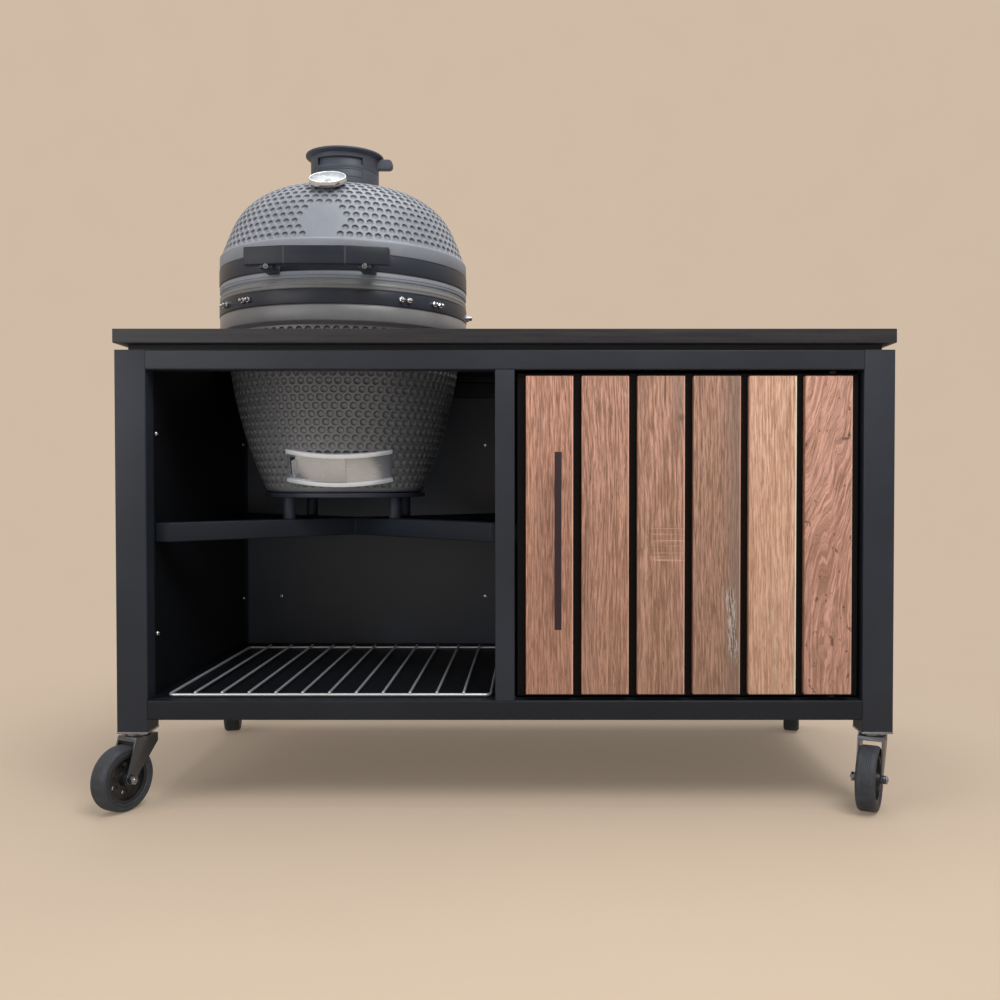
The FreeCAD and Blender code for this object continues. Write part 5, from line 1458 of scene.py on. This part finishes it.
def build_dial_face():
    """White card with ticks on the floor of the case."""
    normal, place = joint_line("needle_turn")
    turn = Matrix.Translation(place + normal * CARD_PLACE) @ Matrix.Rotation(math.acos(normal.z), 4, "X")
    inner, outer = CARD_RADII
    profile = [(inner, 0), (outer, 0), (outer, CARD_THICKNESS), (inner, CARD_THICKNESS)]
    work = lathe(profile, 64, closed=True)
    bmesh.ops.transform(work, matrix=turn, verts=work.verts)
    card = new_object("dial_card", mesh_from(work, "dial_card"))
    fitted(card, "dial", "lid")
    tick = bmesh.new()
    bmesh.ops.create_cube(tick, size=1)
    bmesh.ops.scale(tick, vec=TICK_SIZE, verts=tick.verts)
    spots = []
    for k in range(TICK_COUNT):
        angle = math.radians(TICK_FIRST + TICK_STEP * k)
        spot = turn @ Vector((TICK_RING * math.sin(angle), TICK_RING * math.cos(angle), TICK_LIFT))
        spots.append((spot, normal, -angle))
    ticks = scattered("dial_ticks", mesh_from(tick, "tick"), spots, "ink")
    fitted(ticks, None, "lid")


# Shelf rack: radii of its rim wire and cross wires, bend of its corners and count of cross wires
RACK_RIM = 0.003
RACK_CROSS = 0.0025
RACK_CORNER = 0.012
RACK_COUNT = 11


def build_rack():
    """Loose wire shelf, in the space of its plain solid."""
    low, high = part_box("wire_rack")
    middle, size = (low + high) / 2, high - low
    rack = grown(
        new_object("shelf_rack", bpy.data.meshes.new("shelf_rack")), TREES["rack"],
        width=size.x - 2 * RACK_RIM, depth=size.y - 2 * RACK_RIM, corner=RACK_CORNER, rim_wire=RACK_RIM,
        cross_wire=RACK_CROSS, cross_lift=size.z - RACK_RIM - RACK_CROSS, count=RACK_COUNT,
        material=FINISHES["chrome"])
    rack.data.transform(Matrix.Translation((middle.x, middle.y, low.z + RACK_RIM)))
    fitted(rack, None, "cabinet", ("wire_rack",))


# Side of a tyre from its bore to its tread, as radii and distances from the middle of the tread
TYRE_SIDE = (
    (0.046, -0.016), (0.0478, -0.0166), (0.0486, -0.0175), (0.05, -0.0177), (0.0506, -0.0169),
    (0.0522, -0.017), (0.0528, -0.0181), (0.0548, -0.0186), (0.0562, -0.019), (0.0585, -0.0183),
    (0.0605, -0.0167), (0.062, -0.0141), (0.0625, -0.0112),
)
# Tread lines: count on each side of the middle one, distance between them, depth and half width
TREAD_COUNT = 2
TREAD_STEP = 0.004
TREAD_LINE = 0.0005
# Place of an axle nut out from the middle of its wheel
AXLE_REACH = 0.0293


def build_tyre(corner, centre, axle):
    """Tyre with round shoulders, side rings and shallow tread lines."""
    outer = TYRE_SIDE[-1][0]
    tread = []
    for k in range(-TREAD_COUNT, TREAD_COUNT + 1):
        line = TREAD_STEP * k
        tread += [(outer, line - TREAD_LINE), (outer - TREAD_LINE, line), (outer, line + TREAD_LINE)]
    profile = [*TYRE_SIDE, *tread, *[(radius, -side) for radius, side in reversed(TYRE_SIDE)]]
    work = lathe(profile, 96, closed=True)
    turn = Vector((0, 0, 1)).rotation_difference(axle).to_matrix().to_4x4()
    bmesh.ops.transform(work, matrix=Matrix.Translation(centre) @ turn, verts=work.verts)
    tyre = new_object("tyre_" + corner, mesh_from(work, "tyre_" + corner))
    smoothed(tyre.data, 30)
    fitted(tyre, "rubber", "wheel_" + corner, ("caster_tyre_" + corner,))


# Studio floor: radius of its flat part, radius of the curve up to the backdrop, height of the backdrop, and
# how far the floor lies below the tyres
FLOOR_FLAT = 4.2
FLOOR_CURVE = 2.0
BACKDROP = 6
FLOOR_DROP = 0.0004
# Soft lights: name, place, target, power and size
SOFTBOXES = (
    ("key_softbox", (1.25, -2.5, 3.8), (0.1, 0, 0.7), 110, 2.2),
    ("fill_softbox", (-2.6, -2.4, 1.7), (-0.1, 0, 0.6), 28, 2.2),
    ("top_softbox", (0, 0.5, 4.1), (0, 0.2, 0.6), 80, 3.0),
)
SKY_COLOUR = (0.93, 0.96, 1.0, 1)
SKY_STRENGTH = 0.42
# View of the photograph
VIEW_PLACE = (0.06, -2.323, 0.637)
VIEW_TILT = math.radians(90 - 1.117)
VIEW_LENS = 36.94
VIEW_SENSOR = 36
VIEW_SHIFT = -0.036


def build_floor():
    """Pale floor that sweeps up into a backdrop all round."""
    wall = FLOOR_FLAT + FLOOR_CURVE
    bend = arc((FLOOR_FLAT, 0), (wall, FLOOR_CURVE), FLOOR_CURVE, 1, 14)
    sweep = [(0, 0), (FLOOR_FLAT, 0), *bend, (wall, BACKDROP)]
    profile = [(radius, height - FLOOR_DROP) for radius, height in sweep]
    floor = new_object("studio_floor", mesh_from(lathe(profile, 72), "studio_floor"))
    smoothed(floor.data, 60)
    floor.data.flip_normals()
    floor.data.materials.append(FINISHES["floor"])


def build_sky(scene):
    """Even soft light all round."""
    scene.world = bpy.data.worlds.new("studio")
    scene.world.use_nodes = True
    scene.world.node_tree.nodes.clear()
    graph = Graph(scene.world.node_tree)
    glow = graph.node("ShaderNodeBackground", None, {"Color": SKY_COLOUR, "Strength": SKY_STRENGTH})
    graph.node("ShaderNodeOutputWorld", None, {"Surface": glow})


def build_softbox(name, place, target, power, size):
    """Square soft light aimed at a point."""
    light = bpy.data.lights.new(name, "AREA")
    light.energy = power
    light.size = size
    lamp = new_object(name, light)
    lamp.location = place
    lamp.rotation_euler = (Vector(target) - Vector(place)).to_track_quat("-Z", "Y").to_euler()


def build_view(scene):
    """Camera where the photograph was taken from."""
    view = bpy.data.cameras.new("photo_view")
    view.lens = VIEW_LENS
    view.sensor_width = VIEW_SENSOR
    view.shift_x = VIEW_SHIFT
    scene.camera = new_object("photo_view", view)
    scene.camera.location = VIEW_PLACE
    scene.camera.rotation_euler = (VIEW_TILT, 0, 0)


# Eased edges of the pieces that have one of their own, and the rounded corners of the vent cap
EASED = {
    "cross_brace": 0.0022, "door_pivots": 0.0004, "caster_plates": 0.0004, "kamado_stand": 0.0012,
    "lower_band": 0.0005, "upper_band": 0.0005, "hinge_base": 0.0016, "hinge_arm": 0.0016,
    "hinge_pin": 0.0006, "vent_chimney": 0.0007, "vent_cap": 0.001, "thermometer_case": 0.0012,
    "draft_frame": 0.0005, "draft_door": 0.0004, "caster_fork": 0.001, "caster_hub": 0.0008,
}
CAP_CORNER = 0.0085


def eased(finish, *names, segments=3):
    """Refine pieces, each by its own eased edge."""
    for node in names:
        refined(node, finish, EASED[node], segments)


class KitchenOperator(bpy.types.Operator):
    """Base of the steps that dress the unit."""

    bl_options = {"REGISTER", "UNDO"}


class KITCHEN_OT_frame(KitchenOperator):
    """Powder-coated frame, sheets and brace"""

    bl_idname = "kitchen.frame"
    bl_label = "Cabinet frame"

    def execute(self, context):
        prepare_finishes()
        prepare_trees()
        tube = context.scene.kitchen_sizes.tube_edge
        for node in ("corner_legs", "top_rails", "middle_posts"):
            refined(node, "coat", tube)
        # Bottom rails darker, as painted shade
        refined("bottom_rails", "sill", tube)
        # Brace darker, as painted shade
        eased("brace", "cross_brace")
        # Inner sheets near-black as painted shade
        dressed("lining", "side_panels", "partition_panel", "floor_panel", "door_catch")
        # Back sheet with painted light on its inner face
        dressed("back", "back_panel")
        dressed("coat", "worktop_spacers")
        eased("hub", "door_pivots")
        eased("race", "caster_plates")
        return {"FINISHED"}


class KITCHEN_OT_worktop(KitchenOperator):
    """Dark slab with eased edges"""

    bl_idname = "kitchen.worktop"
    bl_label = "Worktop"

    def execute(self, context):
        refined("worktop", "slab", context.scene.kitchen_sizes.slab_edge)
        return {"FINISHED"}


class KITCHEN_OT_oven(KitchenOperator):
    """Dimpled ceramic shells and what lies inside them"""

    bl_idname = "kitchen.oven"
    bl_label = "Ceramic oven"

    def execute(self, context):
        build_dome()
        build_bowl()
        dressed("clay", "fire_box", "fire_ring")
        dressed("iron", "charcoal_grate")
        refined("cooking_grate", "iron")
        eased("stand", "kamado_stand")
        for node in ("lower_gasket", "upper_gasket"):
            refined(node, "felt")
        eased("band", "lower_band", "upper_band", segments=2)
        return {"FINISHED"}


class KITCHEN_OT_lid_fittings(KitchenOperator):
    """Handle, hinge, vent and thermometer"""

    bl_idname = "kitchen.lid_fittings"
    bl_label = "Lid fittings"

    def execute(self, context):
        sizes = context.scene.kitchen_sizes
        refined("lid_handle", "handle", sizes.handle_edge)
        refined("handle_brackets", "band", sizes.edge)
        eased("band", "hinge_base", "hinge_arm")
        eased("steel", "hinge_pin")
        eased("vent", "vent_chimney", segments=2)
        refined("vent_cap", "vent", EASED["vent_cap"], rounded=CAP_CORNER)
        build_vent_trim()
        eased("bezel", "thermometer_case")
        refined("thermometer_dial", "glass")
        dressed("needle", "thermometer_needle")
        build_dial_face()
        return {"FINISHED"}


class KITCHEN_OT_draft(KitchenOperator):
    """Draft frame and sliding draft door"""

    bl_idname = "kitchen.draft"
    bl_label = "Draft"

    def execute(self, context):
        eased("plate", "draft_frame", "draft_door", segments=2)
        return {"FINISHED"}


class KITCHEN_OT_fixings(KitchenOperator):
    """Sheet screws, band bolts and bracket bolts"""

    bl_idname = "kitchen.fixings"
    bl_label = "Fixings"

    def execute(self, context):
        build_sheet_screws()
        build_band_nuts()
        build_bracket_nuts()
        return {"FINISHED"}


class KITCHEN_OT_door(KitchenOperator):
    """Steel tray, hardwood slats and pull bar"""

    bl_idname = "kitchen.door"
    bl_label = "Slatted door"

    def execute(self, context):
        sizes = context.scene.kitchen_sizes
        # Door tray near-black as painted shade behind the slats
        dressed("tray", "door_frame")
        for index in range(SLAT_COUNT):
            node = f"door_slat_{index + 1}"
            refined(node, hardwood(index, *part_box(node)), sizes.slat_edge)
        refined("door_handle", "pull", sizes.edge)
        return {"FINISHED"}


class KITCHEN_OT_rack(KitchenOperator):
    """Chrome shelf rack"""

    bl_idname = "kitchen.rack"
    bl_label = "Shelf rack"

    def execute(self, context):
        build_rack()
        return {"FINISHED"}


class KITCHEN_OT_casters(KitchenOperator):
    """Zinc forks, plastic hubs and rubber tyres"""

    bl_idname = "kitchen.casters"
    bl_label = "Casters"

    def execute(self, context):
        for corner in CORNERS:
            axle, centre = joint_line("spin_" + corner)
            refined("caster_fork_" + corner, "zinc", EASED["caster_fork"])
            refined("caster_hub_" + corner, "hub", EASED["caster_hub"])
            build_tyre(corner, centre, axle)
            spots = [(centre + axle * AXLE_REACH * side, axle * side, 0.2) for side in (-1, 1)]
            nuts = scattered("axle_nuts_" + corner, nut_and_stud(*AXLE_NUT), spots, "race")
            fitted(nuts, None, "fork_" + corner)
        return {"FINISHED"}


class KITCHEN_OT_stage(KitchenOperator):
    """Pale floor, soft light and camera"""

    bl_idname = "kitchen.stage"
    bl_label = "Stage"

    def execute(self, context):
        context.scene.view_settings.view_transform = "Standard"
        build_floor()
        build_sky(context.scene)
        for softbox in SOFTBOXES:
            build_softbox(*softbox)
        build_view(context.scene)
        return {"FINISHED"}


OPERATORS = (
    KITCHEN_OT_frame, KITCHEN_OT_worktop, KITCHEN_OT_oven, KITCHEN_OT_lid_fittings, KITCHEN_OT_draft,
    KITCHEN_OT_fixings, KITCHEN_OT_door, KITCHEN_OT_rack, KITCHEN_OT_casters, KITCHEN_OT_stage,
)


class KITCHEN_PT_panel(bpy.types.Panel):
    """Sidebar list of the steps and settings"""

    bl_idname = "KITCHEN_PT_panel"
    bl_label = "Outdoor kitchen"
    bl_space_type = "VIEW_3D"
    bl_region_type = "UI"
    bl_category = "Kitchen"

    def draw(self, context):
        for operator in OPERATORS:
            self.layout.operator(operator.bl_idname)
        for group in (context.scene.kitchen_sizes, context.scene.kitchen_colours):
            for name in group.__annotations__:
                self.layout.prop(group, name)


CLASSES = (KitchenSizes, KitchenColours, *OPERATORS, KITCHEN_PT_panel)


def register():
    for item in CLASSES:
        bpy.utils.register_class(item)
    bpy.types.Scene.kitchen_sizes = PointerProperty(type=KitchenSizes)
    bpy.types.Scene.kitchen_colours = PointerProperty(type=KitchenColours)


def unregister():
    del bpy.types.Scene.kitchen_colours
    del bpy.types.Scene.kitchen_sizes
    for item in reversed(CLASSES):
        bpy.utils.unregister_class(item)


def main():
    """Dress the unit step by step."""
    register()
    for operator in OPERATORS:
        group, name = operator.bl_idname.split(".")
        getattr(getattr(bpy.ops, group), name)()


if __name__ == "__main__":
    main()
